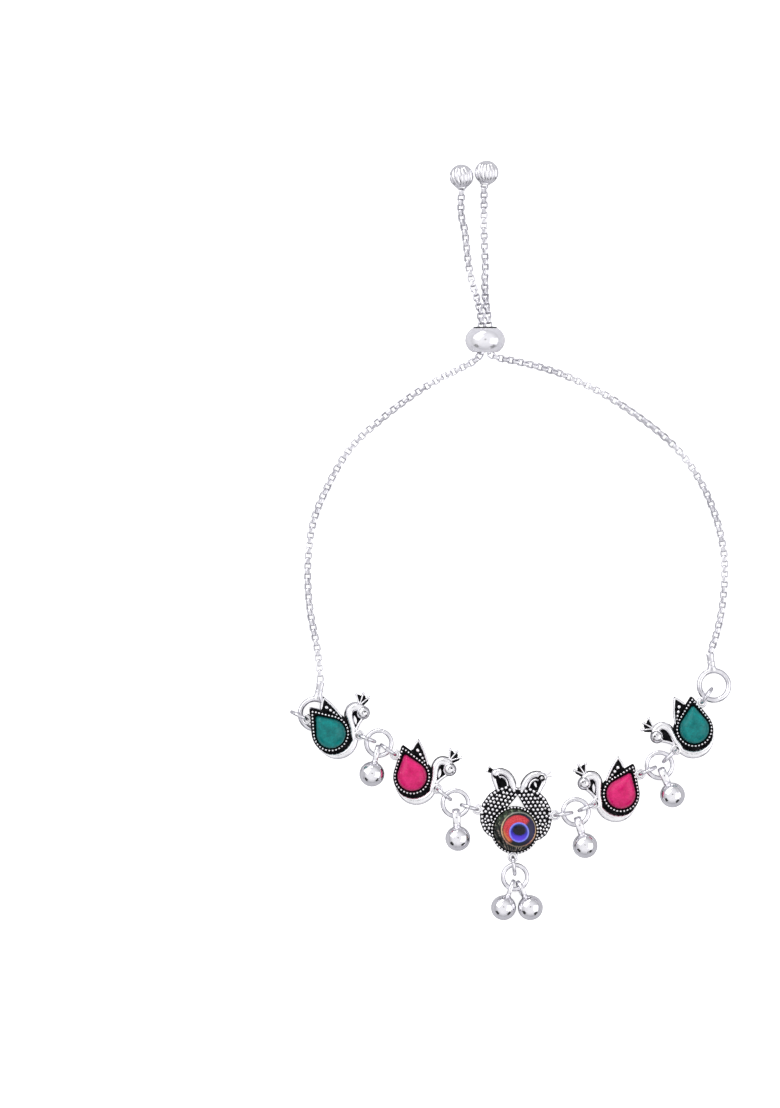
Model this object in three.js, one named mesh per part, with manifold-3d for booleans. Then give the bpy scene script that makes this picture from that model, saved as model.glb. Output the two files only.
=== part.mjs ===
// Payal anklet: a slider-closed ankle chain with peacock links, bells and a round centre piece.
// Units are millimetres. The anklet lies flat on the plane z = 0 with +Z up. +Y runs from the
// centre piece to the two loose tails, and the origin is under the middle of the outline.

import * as THREE from 'three';
import { mergeVertices } from 'three/addons/utils/BufferGeometryUtils.js';
import Module from 'manifold-3d';

const wasm = await Module();
wasm.setup();

// Driving dimensions
const CHAIN_WIDTH = 1.3;
const CHAIN_SIDES = 8;
const CHAIN_STEPS = 38;
const SLIDER = { radius: 4, length: 4.8, bore: 1.7, rim: 2.3, sides: 16 };
const SLIDER_CENTRE = { x: -5.3, y: 39.84 };
const END_BEAD = { radius: 2.4, flutes: 9, fluteDepth: 0.16, bore: 1.0, boreDepth: 1.5 };
const LARGE_RING = { radius: 2.95, wire: 0.45, lowSide: 0.62, highSide: 1.47 };
const END_CAP = { reach: 6.5, mouth: 0.72, waist: 0.6, foot: 0.7 };
const FLAT_RING = { wire: 0.45, height: 1.75 };
const LINK_RING = { radius: 1.72, wire: 0.38 };
const BELL = { radius: 2.5, bailReach: 4.14, bailHigh: 1.15, bailLong: 1.55, wire: 0.42 };
const EYELET = { radius: 0.83, wire: 0.24 };
const RING_SIDES = 12;
const WIRE_SIDES = 5;
const END_GAP = 0.4;
const LINK_PLAY = 0.02;

// Peacock link: heights of its levels and the sizes of its pear bezel
const PEACOCK = {
  base: 1.2,
  rim: 2.0,
  body: 1.9,
  recess: 0.8,
  rest: -5.96,
  groove: { radius: 4.05, tip: 7.0, x: -0.2, y: -0.3 },
  breast: { radius: 4.05, x: -0.3, y: -1.9 },
  border: { radius: 3.72, tip: 6.5 },
  seat: { radius: 3.05, tip: 5.05 },
  stone: { radius: 2.93, tip: 4.8, bottom: 1.35, shoulder: 2.1, top: 3.7 },
};

// Centre piece: heights of its levels and the sizes of its round bezel
const CENTRE = {
  base: 1.4,
  rim: 2.1,
  body: 2.0,
  recess: 0.8,
  bezel: 4.78,
  seat: 4.32,
  cabochon: { radius: 4.2, bottom: 1.55, shoulder: 2.1, top: 4.1 },
};

// Grains of the wings: the first one's place, the lattice's pitch and its slant
const GRAINS = { radius: 0.38, pitch: 1.25, x: 0.95, y: 7.75, slant: -0.93 };

// Chain routes. Columns: x, y, z of the middle of the chain, from the loose tail to the end cap.
const LEFT_ROUTE = [
  [-10.02, 71.3, 2.4], [-10.0, 69.6, 2.35], [-10.14, 67.0, 1.6], [-10.0, 64.5, 0.95],
  [-9.4, 62.0, 0.68], [-9.0, 58.5, 0.68], [-8.6, 55.0, 0.68], [-7.95, 51.7, 0.95],
  [-6.95, 48.3, 2.0], [-6.3, 45.6, 3.2], [-6.03, 42.3, 3.97], [-6.03, 39.8, 4.0],
  [-6.05, 37.4, 3.97], [-7.6, 35.6, 3.7], [-11.0, 33.82, 2.9], [-15.28, 31.68, 1.7],
  [-20.0, 28.75, 0.8], [-26.0, 24.18, 0.68], [-31.98, 18.58, 0.68], [-36.44, 11.26, 0.68],
  [-39.66, 3.4, 0.68], [-40.76, -5.04, 0.68], [-40.4, -13.5, 0.68], [-38.9, -21.8, 0.68],
];
const RIGHT_ROUTE = [
  [-5.2, 72.1, 2.4], [-5.5, 70.3, 2.35], [-5.5, 67.6, 1.6], [-5.5, 65.0, 0.95],
  [-5.5, 62.3, 0.68], [-5.36, 58.5, 0.68], [-5.2, 54.5, 0.68], [-5.3, 51.5, 0.95],
  [-5.2, 48.2, 2.0], [-4.85, 45.6, 3.2], [-4.57, 42.3, 3.97], [-4.57, 39.8, 4.0],
  [-4.56, 37.5, 3.97], [-3.0, 36.4, 3.78], [0.9, 35.6, 2.9], [5.8, 34.45, 1.7],
  [11.5, 32.5, 0.8], [20.12, 28.18, 0.68], [29.76, 21.32, 0.68], [35.68, 15.0, 0.68],
  [40.08, 6.78, 0.68], [42.48, -2.62, 0.68], [42.42, -11.58, 0.68], [41.2, -18.3, 0.68],
];

// Peacock links. The turn is counter-clockwise in degrees, and side -1 is the mirrored casting.
// The outer left link leans on the end ring, so its eyelet there is cast low.
const PEACOCKS = [
  { name: 'peacock_outer_left', x: -36.4, y: -38.37, turn: 40.4, side: -1, lean: 11.5,
    stone: 'green', backEyelet: 0.4 },
  { name: 'peacock_inner_left', x: -19.9, y: -47.32, turn: 18.3, side: -1, lean: 0,
    stone: 'pink', backEyelet: 1.8 },
  { name: 'peacock_inner_right', x: 21.9, y: -50.86, turn: -24, side: 1, lean: 0,
    stone: 'pink', backEyelet: 1.8 },
  { name: 'peacock_outer_right', x: 36.56, y: -37.82, turn: 4, side: 1, lean: 0,
    stone: 'green', backEyelet: 1.8 },
];
const CENTRE_PLACE = { name: 'centre_piece', x: 0.68, y: -58.1, turn: -4.4 };

// Large rings at the chain ends. The cap angle is where the end cap sits on the ring, in degrees.
const LARGE_RINGS = [
  { name: 'end_ring_left', x: -39.3, y: -34.86, cap: 80 },
  { name: 'end_ring_right', x: 40.51, y: -29.15, cap: 97 },
];

// Flat jump rings that carry the bells
const FLAT_RINGS = [
  { name: 'jump_ring_1', x: -26.52, y: -40.67, radius: 2.5 },
  { name: 'jump_ring_2', x: -11.21, y: -52.72, radius: 2.55 },
  { name: 'jump_ring_3', x: 12.84, y: -54.45, radius: 2.55 },
  { name: 'jump_ring_4', x: 29.6, y: -45.11, radius: 2.55 },
  { name: 'jump_ring_drop', x: 0.7, y: -67.45, radius: 2.42 },
];

// Upright link rings. Each one joins an eyelet of a casting to a ring, and points from the
// eyelet to the ring's centre, or along a heading in degrees where the ring lies over the eyelet.
const LINK_RINGS = [
  { name: 'link_ring_1', casting: 'peacock_outer_left', eyelet: 'back', ring: 'end_ring_left',
    heading: 155 },
  { name: 'link_ring_2', casting: 'peacock_outer_left', eyelet: 'front', ring: 'jump_ring_1' },
  { name: 'link_ring_3', casting: 'peacock_inner_left', eyelet: 'back', ring: 'jump_ring_1' },
  { name: 'link_ring_4', casting: 'peacock_inner_left', eyelet: 'front', ring: 'jump_ring_2' },
  { name: 'link_ring_5', casting: 'centre_piece', eyelet: 'left', ring: 'jump_ring_2' },
  { name: 'link_ring_6', casting: 'centre_piece', eyelet: 'right', ring: 'jump_ring_3' },
  { name: 'link_ring_7', casting: 'peacock_inner_right', eyelet: 'front', ring: 'jump_ring_3' },
  { name: 'link_ring_8', casting: 'peacock_inner_right', eyelet: 'back', ring: 'jump_ring_4' },
  { name: 'link_ring_9', casting: 'peacock_outer_right', eyelet: 'front', ring: 'jump_ring_4' },
  { name: 'link_ring_10', casting: 'peacock_outer_right', eyelet: 'back', ring: 'end_ring_right' },
  { name: 'link_ring_drop', casting: 'centre_piece', eyelet: 'bottom', ring: 'jump_ring_drop' },
];

// Bells. x and y are the middle of the ball, width is that of the bail's band, and roll turns
// the bail about its own axis.
const BELLS = [
  { name: 'bell_1', x: -27.92, y: -46.85, ring: 'jump_ring_1', width: 1.0, roll: 0 },
  { name: 'bell_2', x: -10.74, y: -59.72, ring: 'jump_ring_2', width: 1.5, roll: 0 },
  { name: 'bell_3', x: 14.68, y: -61.15, ring: 'jump_ring_3', width: 1.5, roll: 0 },
  { name: 'bell_4', x: 32.16, y: -51.04, ring: 'jump_ring_4', width: 1.5, roll: 0 },
  { name: 'bell_drop_left', x: -1.62, y: -73.56, ring: 'jump_ring_drop', width: 0.84, roll: 0 },
  { name: 'bell_drop_right', x: 3.76, y: -73.55, ring: 'jump_ring_drop', width: 0.84, roll: 12 },
];

// Eyelets in the castings' own frames
const PEACOCK_EYELETS = {
  front: { x: -4.0, y: -3.95, z: 1.8 },
  back: { x: 1.82, y: 5.16, z: 1.8 },
};
const CENTRE_EYELETS = {
  left: { x: -7.75, y: 3.6, z: 1.8 },
  right: { x: 7.75, y: 3.6, z: 1.8 },
  bottom: { x: 0, y: -5.4, z: 1.8 },
};

// The middle of the outline in the plan that the tables use. The origin is put under it.
const OUTLINE_MIDDLE = { x: -0.206, y: -0.117 };

// Materials
const MATERIALS = {
  silver: { color: 0xe4e3e8, roughness: 0.2, metalness: 1 },
  chain: { color: 0xdcdbe2, roughness: 0.28, metalness: 1 },
  oxidised: { color: 0x8f8d94, roughness: 0.45, metalness: 1 },
  green: { color: 0x17897f, roughness: 0.3, metalness: 0 },
  pink: { color: 0xd8286f, roughness: 0.3, metalness: 0 },
  feather: { color: 0x1c3c6a, roughness: 0.1, metalness: 0 },
};

const radians = THREE.MathUtils.degToRad;

function material(name) {
  return new THREE.MeshStandardMaterial(MATERIALS[name]);
}

// Closed solids to and from the boolean library
function solidFrom(geometry) {
  const bare = geometry.clone();
  bare.deleteAttribute('normal');
  bare.deleteAttribute('uv');
  const merged = mergeVertices(bare, 1e-4);
  return new wasm.Manifold(new wasm.Mesh({
    numProp: 3,
    vertProperties: Float32Array.from(merged.attributes.position.array),
    triVerts: Uint32Array.from(merged.index.array),
  }));
}

function geometryFrom(solid) {
  const mesh = solid.getMesh();
  const geometry = new THREE.BufferGeometry();
  geometry.setAttribute('position', new THREE.BufferAttribute(mesh.vertProperties, 3));
  geometry.setIndex(new THREE.BufferAttribute(mesh.triVerts, 1));
  geometry.computeVertexNormals();
  return geometry;
}

function fused(geometries, cuts = []) {
  let solid = solidFrom(geometries[0]);
  for (const geometry of geometries.slice(1)) {
    solid = solid.add(solidFrom(geometry));
  }
  for (const cut of cuts) {
    solid = solid.subtract(solidFrom(cut));
  }
  return geometryFrom(solid);
}

function mirrored(geometry) {
  const copy = geometry.clone();
  copy.scale(-1, 1, 1);
  const order = copy.index.array;
  for (let corner = 0; corner < order.length; corner += 3) {
    [order[corner], order[corner + 1]] = [order[corner + 1], order[corner]];
  }
  copy.computeVertexNormals();
  return copy;
}

// Simple forms
function slab(shape, bottom, top, curveSegments = 12) {
  const options = { depth: top - bottom, bevelEnabled: false, curveSegments };
  return new THREE.ExtrudeGeometry(shape, options).translate(0, 0, bottom);
}

function circleShape(radius) {
  return new THREE.Shape().absarc(0, 0, radius, 0, 2 * Math.PI, false);
}

function polygonShape(rows) {
  return new THREE.Shape(rows.map(([x, y]) => new THREE.Vector2(x, y)));
}

// A round bottom with two straight flanks, its tangents, that meet in a tip on +Y
function pearShape({ radius, tip }) {
  const start = Math.asin(radius / tip);
  const shape = new THREE.Shape();
  shape.moveTo(0, tip);
  shape.lineTo(-radius * Math.cos(start), radius * Math.sin(start));
  shape.absarc(0, 0, radius, Math.PI - start, 2 * Math.PI + start, false);
  shape.lineTo(0, tip);
  return shape;
}

// A band of varying width. Columns: x, y and half the width.
function bandShape(rows) {
  const left = [];
  const right = [];
  rows.forEach(([x, y, half], row) => {
    const before = rows[Math.max(row - 1, 0)];
    const after = rows[Math.min(row + 1, rows.length - 1)];
    const along = new THREE.Vector2(after[0] - before[0], after[1] - before[1]).normalize();
    left.push(new THREE.Vector2(x - along.y * half, y + along.x * half));
    right.unshift(new THREE.Vector2(x + along.y * half, y - along.x * half));
  });
  return new THREE.Shape([...left, ...right]);
}

function ball(radius, x, y, z, around = 8, down = 6) {
  return new THREE.SphereGeometry(radius, around, down).rotateX(Math.PI / 2).translate(x, y, z);
}

// A low round grain that stands on a surface
function grain(radius, x, y, z) {
  return new THREE.CylinderGeometry(radius * 0.45, radius, radius * 1.2, 5)
    .rotateX(Math.PI / 2).translate(x, y, z);
}

// A straight bar from one point to another at one height
function bar([x1, y1], [x2, y2], radius, z) {
  const length = Math.hypot(x2 - x1, y2 - y1);
  return new THREE.CylinderGeometry(radius, radius, length, 5)
    .rotateZ(Math.PI / 2)
    .rotateZ(Math.atan2(y2 - y1, x2 - x1))
    .translate((x1 + x2) / 2, (y1 + y2) / 2, z);
}

function flatTorus(radius, wire, ringSides = RING_SIDES, wireSides = WIRE_SIDES) {
  return new THREE.TorusGeometry(radius, wire, wireSides, ringSides);
}

// A closed dome over an outline, lofted through rings. Columns: height and scale.
function dome(shape, rings, apex, curveSegments = 10) {
  const outline = shape.extractPoints(curveSegments).shape;
  const points = outline.slice(0, -1);
  const count = points.length;
  const positions = [];
  for (const [z, scale] of rings) {
    for (const point of points) {
      positions.push(point.x * scale, point.y * scale, z);
    }
  }
  const foot = positions.length / 3;
  positions.push(0, 0, rings[0][0]);
  positions.push(0, 0, apex);
  const index = [];
  for (let ring = 0; ring < rings.length - 1; ring += 1) {
    for (let step = 0; step < count; step += 1) {
      const next = (step + 1) % count;
      const low = ring * count;
      const high = low + count;
      index.push(low + step, low + next, high + next, low + step, high + next, high + step);
    }
  }
  const last = (rings.length - 1) * count;
  for (let step = 0; step < count; step += 1) {
    const next = (step + 1) % count;
    index.push(foot, next, step, foot + 1, last + step, last + next);
  }
  const geometry = new THREE.BufferGeometry();
  geometry.setAttribute('position', new THREE.Float32BufferAttribute(positions, 3));
  geometry.setIndex(index);
  geometry.computeVertexNormals();
  return geometry;
}

// Sub-parts
function chainGeometry(route) {
  const path = new THREE.CatmullRomCurve3(route.map(([x, y, z]) => new THREE.Vector3(x, y, z)));
  const section = new THREE.Shape();
  const corner = Math.PI / CHAIN_SIDES;
  for (let side = 0; side < CHAIN_SIDES; side += 1) {
    const angle = corner + 2 * side * corner;
    const point = [Math.cos(angle) * CHAIN_WIDTH / 2, Math.sin(angle) * CHAIN_WIDTH / 2];
    if (side === 0) {
      section.moveTo(...point);
    } else {
      section.lineTo(...point);
    }
  }
  section.closePath();
  const options = { steps: CHAIN_STEPS, extrudePath: path };
  return new THREE.ExtrudeGeometry(section, options);
}

function sliderGeometry() {
  const { radius, length, bore, rim, sides } = SLIDER;
  const half = length / 2;
  // Columns: radius and place along the axis
  const halfProfile = [
    [bore, half - 0.8], [rim, half], [rim + 0.35, half], [radius - 0.55, half - 0.35],
    [radius - 0.1, half - 1.2], [radius, half - 1.9],
  ];
  const lower = halfProfile.map(([r, s]) => new THREE.Vector2(r, -s));
  const upper = halfProfile.map(([r, s]) => new THREE.Vector2(r, s)).reverse();
  const profile = [...lower, ...upper, lower[0].clone()];
  return new THREE.LatheGeometry(profile, sides);
}

// A melon bead whose ridges run slantwise from pole to pole along +Y, with a bore from its -Y pole
function endBeadGeometry() {
  const { radius, flutes, fluteDepth, bore, boreDepth } = END_BEAD;
  const rows = 8;
  const twist = radians(9);
  const bead = new THREE.SphereGeometry(radius, flutes * 2, rows);
  const position = bead.attributes.position;
  for (let at = 0; at < position.count; at += 1) {
    const column = at % (flutes * 2 + 1);
    const row = Math.floor(at / (flutes * 2 + 1));
    const point = new THREE.Vector3().fromBufferAttribute(position, at);
    const valley = column % 2 === 1 ? fluteDepth * Math.sin(Math.PI * row / rows) : 0;
    point.applyAxisAngle(new THREE.Vector3(0, 1, 0), twist * row);
    const across = Math.hypot(point.x, point.z);
    const shrink = across > 0.01 ? (across - valley) / across : 1;
    position.setXYZ(at, point.x * shrink, point.y, point.z * shrink);
  }
  const hole = new THREE.CylinderGeometry(bore, bore, 2 * boreDepth, 8).translate(0, -radius, 0);
  return fused([bead], [hole]);
}

// A large ring that leans on its far side, with the end cap of the chain soldered to it
function endRingGeometry(place, frame) {
  const { radius, wire } = LARGE_RING;
  const ring = flatTorus(radius, wire, 16, 6);
  ring.applyMatrix4(new THREE.Matrix4().makeRotationFromQuaternion(frame.tilt));
  const { reach, mouth, waist, foot } = END_CAP;
  // Columns: cap radius and distance from the ring's centre
  const profile = [
    [0, radius], [foot, radius], [waist, radius + 1.1], [mouth, radius + 1.7],
    [mouth, reach], [0, reach],
  ];
  const cap = new THREE.LatheGeometry(profile.map(([r, s]) => new THREE.Vector2(r, s)), 8)
    .rotateZ(radians(place.cap) - Math.PI / 2)
    .translate(0, 0, frame.capHeight);
  return fused([ring, cap]);
}

// How an end ring leans: high where the link ring carries it and low on the far side
function endRingFrame(place, link) {
  const toLink = new THREE.Vector2(link.x - place.x, link.y - place.y).normalize();
  const rise = (LARGE_RING.highSide - LARGE_RING.lowSide) / 2;
  const axis = new THREE.Vector3(toLink.y, -toLink.x, 0);
  const tilt = new THREE.Quaternion().setFromAxisAngle(axis, Math.asin(rise / LARGE_RING.radius));
  const capAngle = radians(place.cap);
  const toward = toLink.x * Math.cos(capAngle) + toLink.y * Math.sin(capAngle);
  return { tilt, capHeight: rise * toward, height: LARGE_RING.lowSide + rise };
}

// A ball on the ground at the origin with a bail along +X that slopes down to the ring's height
function bellGeometry(width, roll) {
  const { radius, bailReach, bailHigh, bailLong, wire } = BELL;
  const bail = flatTorus(1, wire, 10, 5);
  const position = bail.attributes.position;
  for (let at = 0; at < position.count; at += 1) {
    const angle = Math.atan2(position.getY(at), position.getX(at));
    position.setX(at, position.getX(at) + (bailLong - 1) * Math.cos(angle));
    position.setY(at, position.getY(at) + (bailHigh - 1) * Math.sin(angle));
    position.setZ(at, position.getZ(at) * width / (2 * wire));
  }
  const slope = Math.asin((radius - FLAT_RING.height) / bailReach);
  bail.rotateX(Math.PI / 2 + radians(roll)).translate(bailReach, 0, 0).rotateY(slope);
  return fused([ball(radius, 0, 0, 0, 12, 7), bail]);
}

function eyeletGeometry({ x, y, z }) {
  return flatTorus(EYELET.radius, EYELET.wire, 10, 4).translate(x, y, z);
}

function stoneGeometry() {
  const { bottom, shoulder, top } = PEACOCK.stone;
  const rings = [
    [bottom, 1], [shoulder, 1], [(shoulder + top) / 2 + 0.15, 0.82], [top - 0.25, 0.5],
  ];
  return dome(pearShape(PEACOCK.stone), rings, top);
}

function cabochonGeometry() {
  const { radius, bottom, shoulder, top } = CENTRE.cabochon;
  const rings = [
    [bottom, 1], [shoulder, 1], [(shoulder + top) / 2 + 0.25, 0.8], [top - 0.3, 0.48],
  ];
  return dome(circleShape(radius), rings, top, 12);
}

// A peacock in side view: a pear bezel for the tail, with a body, neck, head and crown round it
function peacockGeometry(eyelets) {
  const { base, rim, body, recess, groove, border, seat, breast } = PEACOCK;
  const bezel = pearShape(border);
  bezel.holes.push(pearShape(seat));
  const crescent = new THREE.Shape();
  crescent.absarc(breast.x, breast.y, breast.radius, radians(222), radians(371), false);
  crescent.absarc(groove.x, groove.y, groove.radius - 0.25, radians(345), radians(230), true);
  // Columns: x, y and half the width of the neck from the breast to the forehead
  const neck = bandShape([
    [-2.75, -3.75, 0.5], [-3.3, -3.0, 0.5], [-3.95, -2.1, 0.5], [-4.6, -0.6, 0.5], [-5.3, 0.7, 0.58],
    [-6.4, 1.2, 0.65], [-7.4, 0.75, 0.7], [-7.9, -0.3, 0.7],
  ]);
  const chin = bandShape([[-7.4, -1.6, 0.35], [-6.0, -2.0, 0.3], [-4.9, -2.4, 0.3], [-3.8, -3.0, 0.4]]);
  const hollow = polygonShape([[-6.9, 0.6], [-4.9, -0.2], [-4.2, -2.3], [-6.3, -2.0], [-7.3, -1.0]]);
  const fin = polygonShape([[-3.6, 6.74], [-4.0, 4.0], [-3.9, 1.0], [-3.2, 1.0], [-1.4, 4.9]]);
  const finRim = bandShape([[-3.75, 1.2, 0.2], [-3.85, 4.0, 0.2], [-3.5, 6.3, 0.22], [-1.75, 5.15, 0.2]]);
  const parts = [
    slab(pearShape(groove), 0, base, 14).translate(groove.x, groove.y, 0),
    slab(bezel, 0, rim, 12),
    slab(crescent, 0, body, 10),
    slab(neck, 0, body),
    slab(chin, 0, body - 0.3),
    slab(hollow, 0, recess),
    slab(fin, 0, base),
    slab(finRim, 0, body),
    ball(1.25, -7.65, -1.15, 1.25, 8, 5),
    ...Object.values(eyelets).map(eyeletGeometry),
  ];
  // Columns: x, y and radius of the grains in the fin
  for (const [x, y, radius] of [[-2.8, 4.6, 0.37], [-3.05, 3.65, 0.3], [-3.25, 2.85, 0.26]]) {
    parts.push(grain(radius, x, y, base + 0.15));
  }
  // Columns: x and y of the ball ends of the crown
  for (const tip of [[-10.45, 0.5], [-10.1, 1.85], [-8.9, 2.65]]) {
    parts.push(bar([-8.0, 0.7], tip, 0.22, 1.2));
    parts.push(ball(0.38, tip[0], tip[1], 1.2, 6, 4));
  }
  return fused(parts);
}

function distanceToEdge(x, y, from, to) {
  const edge = new THREE.Line3(new THREE.Vector3(from.x, from.y, 0), new THREE.Vector3(to.x, to.y, 0));
  const point = new THREE.Vector3(x, y, 0);
  return edge.closestPointToPoint(point, true, new THREE.Vector3()).distanceTo(point);
}

function insideOutline(x, y, outline) {
  let inside = false;
  outline.forEach((corner, at) => {
    const next = outline[(at + 1) % outline.length];
    const crosses = (corner.y > y) !== (next.y > y);
    if (crosses && x < corner.x + (next.x - corner.x) * (y - corner.y) / (next.y - corner.y)) {
      inside = !inside;
    }
  });
  return inside;
}

// One of the two peacocks of the centre piece, on the +X side
function centreBirdParts() {
  const { base, body, recess } = CENTRE;
  const wingOutline = [
    [-0.05, 8.5], [-0.05, 7.1], [1.6, 4.7], [3.6, 2.8], [4.6, 0.6], [4.4, -1.8], [5.2, -1.5],
    [6.3, -0.5], [7.0, 1.0], [7.25, 2.8], [6.9, 4.8], [5.7, 6.8], [4.1, 8.1], [2.4, 8.8],
  ];
  // Columns: x, y and half the width
  const neck = bandShape([
    [0.7, 8.4, 0.75], [1.2, 9.2, 0.65], [1.65, 10.2, 0.52], [2.3, 11.1, 0.5],
    [3.4, 11.6, 0.52], [4.6, 11.4, 0.6],
  ]);
  const beak = bandShape([[4.9, 10.9, 0.6], [5.0, 9.9, 0.35], [4.5, 8.9, 0.25], [4.2, 8.0, 0.3]]);
  const hollow = polygonShape([[1.6, 9.0], [2.0, 10.9], [3.4, 11.4], [4.7, 9.8], [4.2, 8.2], [2.2, 8.6]]);
  const parts = [
    slab(polygonShape(wingOutline), 0, body),
    slab(neck, 0, body + 0.1),
    slab(beak, 0, body - 0.2),
    slab(hollow, 0, recess),
    ball(0.95, 4.75, 11.0, 1.35, 8, 6),
    bar([5.0, 11.3], [6.15, 12.15], 0.2, base),
    bar([5.0, 11.1], [6.4, 11.35], 0.2, base),
  ];
  // Grains over the wing, on a slanted lattice that keeps inside its outline
  const outline = wingOutline.map(([x, y]) => new THREE.Vector2(x, y));
  for (let row = 0; row < 4; row += 1) {
    for (let place = 0; place < 8; place += 1) {
      const along = (place - (row % 2) / 2) * GRAINS.pitch;
      const across = row * GRAINS.pitch * 0.9;
      const x = GRAINS.x + along * Math.cos(GRAINS.slant) + across * Math.sin(-GRAINS.slant);
      const y = GRAINS.y + along * Math.sin(GRAINS.slant) + across * Math.cos(GRAINS.slant);
      const clear = outline.every((corner, at) => {
        const next = outline[(at + 1) % outline.length];
        return distanceToEdge(x, y, corner, next) > GRAINS.radius;
      });
      if (clear && insideOutline(x, y, outline) && Math.hypot(x, y) > CENTRE.bezel + GRAINS.radius) {
        parts.push(grain(GRAINS.radius, x, y, body + 0.1));
      }
    }
  }
  return parts;
}

function centreGeometry() {
  const { base, rim, bezel, seat } = CENTRE;
  const wall = circleShape(bezel);
  wall.holes.push(circleShape(seat));
  const bird = centreBirdParts();
  const twin = bird.map((geometry) => {
    const bare = geometry.clone();
    bare.deleteAttribute('normal');
    bare.deleteAttribute('uv');
    return mirrored(mergeVertices(bare, 1e-4));
  });
  const eyelets = Object.values(CENTRE_EYELETS).map(eyeletGeometry);
  return fused([
    slab(circleShape(bezel), 0, base, 24),
    slab(wall, 0, rim, 24),
    ...bird,
    ...twin,
    ...eyelets,
  ]);
}

// Assembly
const anklet = new THREE.Group();

function addPiece(name, geometry, finish, x, y, z = 0, turn = 0, group = anklet) {
  const mesh = new THREE.Mesh(geometry, material(finish));
  mesh.name = name;
  mesh.position.set(x, y, z);
  mesh.rotation.z = turn;
  group.add(mesh);
  return mesh;
}

// A group that stands at a place, is turned there, and leans back about its lower edge
function leaningGroup({ x, y, turn, lean }) {
  const place = new THREE.Group();
  place.position.set(x, y, 0);
  place.rotation.z = radians(turn);
  const pivot = new THREE.Group();
  pivot.position.y = PEACOCK.rest;
  pivot.rotation.x = radians(lean);
  const level = new THREE.Group();
  level.position.y = -PEACOCK.rest;
  place.add(pivot);
  pivot.add(level);
  anklet.add(place);
  return level;
}

// Castings, and where each eyelet lies in the assembly
const eyeletPlaces = {};

function recordEyelets(name, mesh, eyelets, side) {
  mesh.updateWorldMatrix(true, false);
  for (const [eyelet, { x, y, z }] of Object.entries(eyelets)) {
    eyeletPlaces[`${name} ${eyelet}`] = mesh.localToWorld(new THREE.Vector3(x * side, y, z));
  }
}

for (const row of PEACOCKS) {
  const { name, side, stone, backEyelet } = row;
  const eyelets = {
    front: PEACOCK_EYELETS.front,
    back: { ...PEACOCK_EYELETS.back, z: backEyelet },
  };
  const casting = peacockGeometry(eyelets);
  const group = leaningGroup(row);
  const shape = side < 0 ? mirrored(casting) : casting;
  const mesh = addPiece(name, shape, 'oxidised', 0, 0, 0, 0, group);
  addPiece(name.replace('peacock', 'stone'), stoneGeometry(), stone, 0, 0, 0, 0, group);
  recordEyelets(name, mesh, eyelets, side);
}

const { x: centreX, y: centreY } = CENTRE_PLACE;
const centreTurn = radians(CENTRE_PLACE.turn);
const centre = addPiece(
  CENTRE_PLACE.name, centreGeometry(), 'oxidised', centreX, centreY, 0, centreTurn,
);
recordEyelets(CENTRE_PLACE.name, centre, CENTRE_EYELETS, 1);
addPiece('cabochon', cabochonGeometry(), 'feather', centreX, centreY, 0, centreTurn);

// Upright link rings: the wire crosses the middle of the eyelet's hole at the eyelet's height
const linkPlaces = {};
const linkHeight = LINK_RING.radius + LINK_RING.wire;
for (const { name, casting, eyelet, ring: ringName, heading } of LINK_RINGS) {
  const ring = [...LARGE_RINGS, ...FLAT_RINGS].find((row) => row.name === ringName);
  const from = eyeletPlaces[`${casting} ${eyelet}`];
  const turn = heading === undefined
    ? Math.atan2(ring.y - from.y, ring.x - from.x)
    : radians(heading);
  const reach = Math.sqrt(LINK_RING.radius ** 2 - (from.z - linkHeight) ** 2) - LINK_PLAY;
  const x = from.x + reach * Math.cos(turn);
  const y = from.y + reach * Math.sin(turn);
  const upright = flatTorus(LINK_RING.radius, LINK_RING.wire).rotateX(Math.PI / 2);
  addPiece(name, upright, 'silver', x, y, linkHeight, turn);
  linkPlaces[ringName] = { x, y };
}

// End rings, and the mouth of each end cap, where a chain ends
const capMouths = {};
for (const place of LARGE_RINGS) {
  const frame = endRingFrame(place, linkPlaces[place.name]);
  addPiece(place.name, endRingGeometry(place, frame), 'silver', place.x, place.y, frame.height);
  const angle = radians(place.cap);
  const out = END_CAP.reach + END_GAP;
  capMouths[place.name] = [
    place.x + out * Math.cos(angle), place.y + out * Math.sin(angle),
    frame.height + frame.capHeight,
  ];
}

const leftRoute = [...LEFT_ROUTE, capMouths.end_ring_left];
const rightRoute = [...RIGHT_ROUTE, capMouths.end_ring_right];
addPiece('chain_left', chainGeometry(leftRoute), 'chain', 0, 0);
addPiece('chain_right', chainGeometry(rightRoute), 'chain', 0, 0);
addPiece('slider_bead', sliderGeometry(), 'silver', SLIDER_CENTRE.x, SLIDER_CENTRE.y, SLIDER.radius);

for (const [name, route] of [['end_bead_left', LEFT_ROUTE], ['end_bead_right', RIGHT_ROUTE]]) {
  const [x, y] = route[0];
  const along = new THREE.Vector2(x - route[1][0], y - route[1][1]).normalize();
  const inside = END_BEAD.radius - END_BEAD.boreDepth + END_GAP;
  const turn = Math.atan2(along.y, along.x) - Math.PI / 2;
  addPiece(
    name, endBeadGeometry(), 'silver',
    x + along.x * inside, y + along.y * inside, END_BEAD.radius, turn,
  );
}

for (const place of FLAT_RINGS) {
  const ring = flatTorus(place.radius, FLAT_RING.wire);
  addPiece(place.name, ring, 'silver', place.x, place.y, FLAT_RING.height);
}

for (const bell of BELLS) {
  const ring = FLAT_RINGS.find((row) => row.name === bell.ring);
  const turn = Math.atan2(ring.y - bell.y, ring.x - bell.x);
  addPiece(bell.name, bellGeometry(bell.width, bell.roll), 'silver', bell.x, bell.y, BELL.radius, turn);
}

anklet.position.set(-OUTLINE_MIDDLE.x, -OUTLINE_MIDDLE.y, 0);

export default anklet;
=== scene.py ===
# Payal anklet, lying flat, seen from straight above.
# Sizes and places are in millimetres in the part's plan, and become metres as each mesh is made.

from math import asin, atan2, copysign, cos, inf, pi, radians, sin, tan

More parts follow.
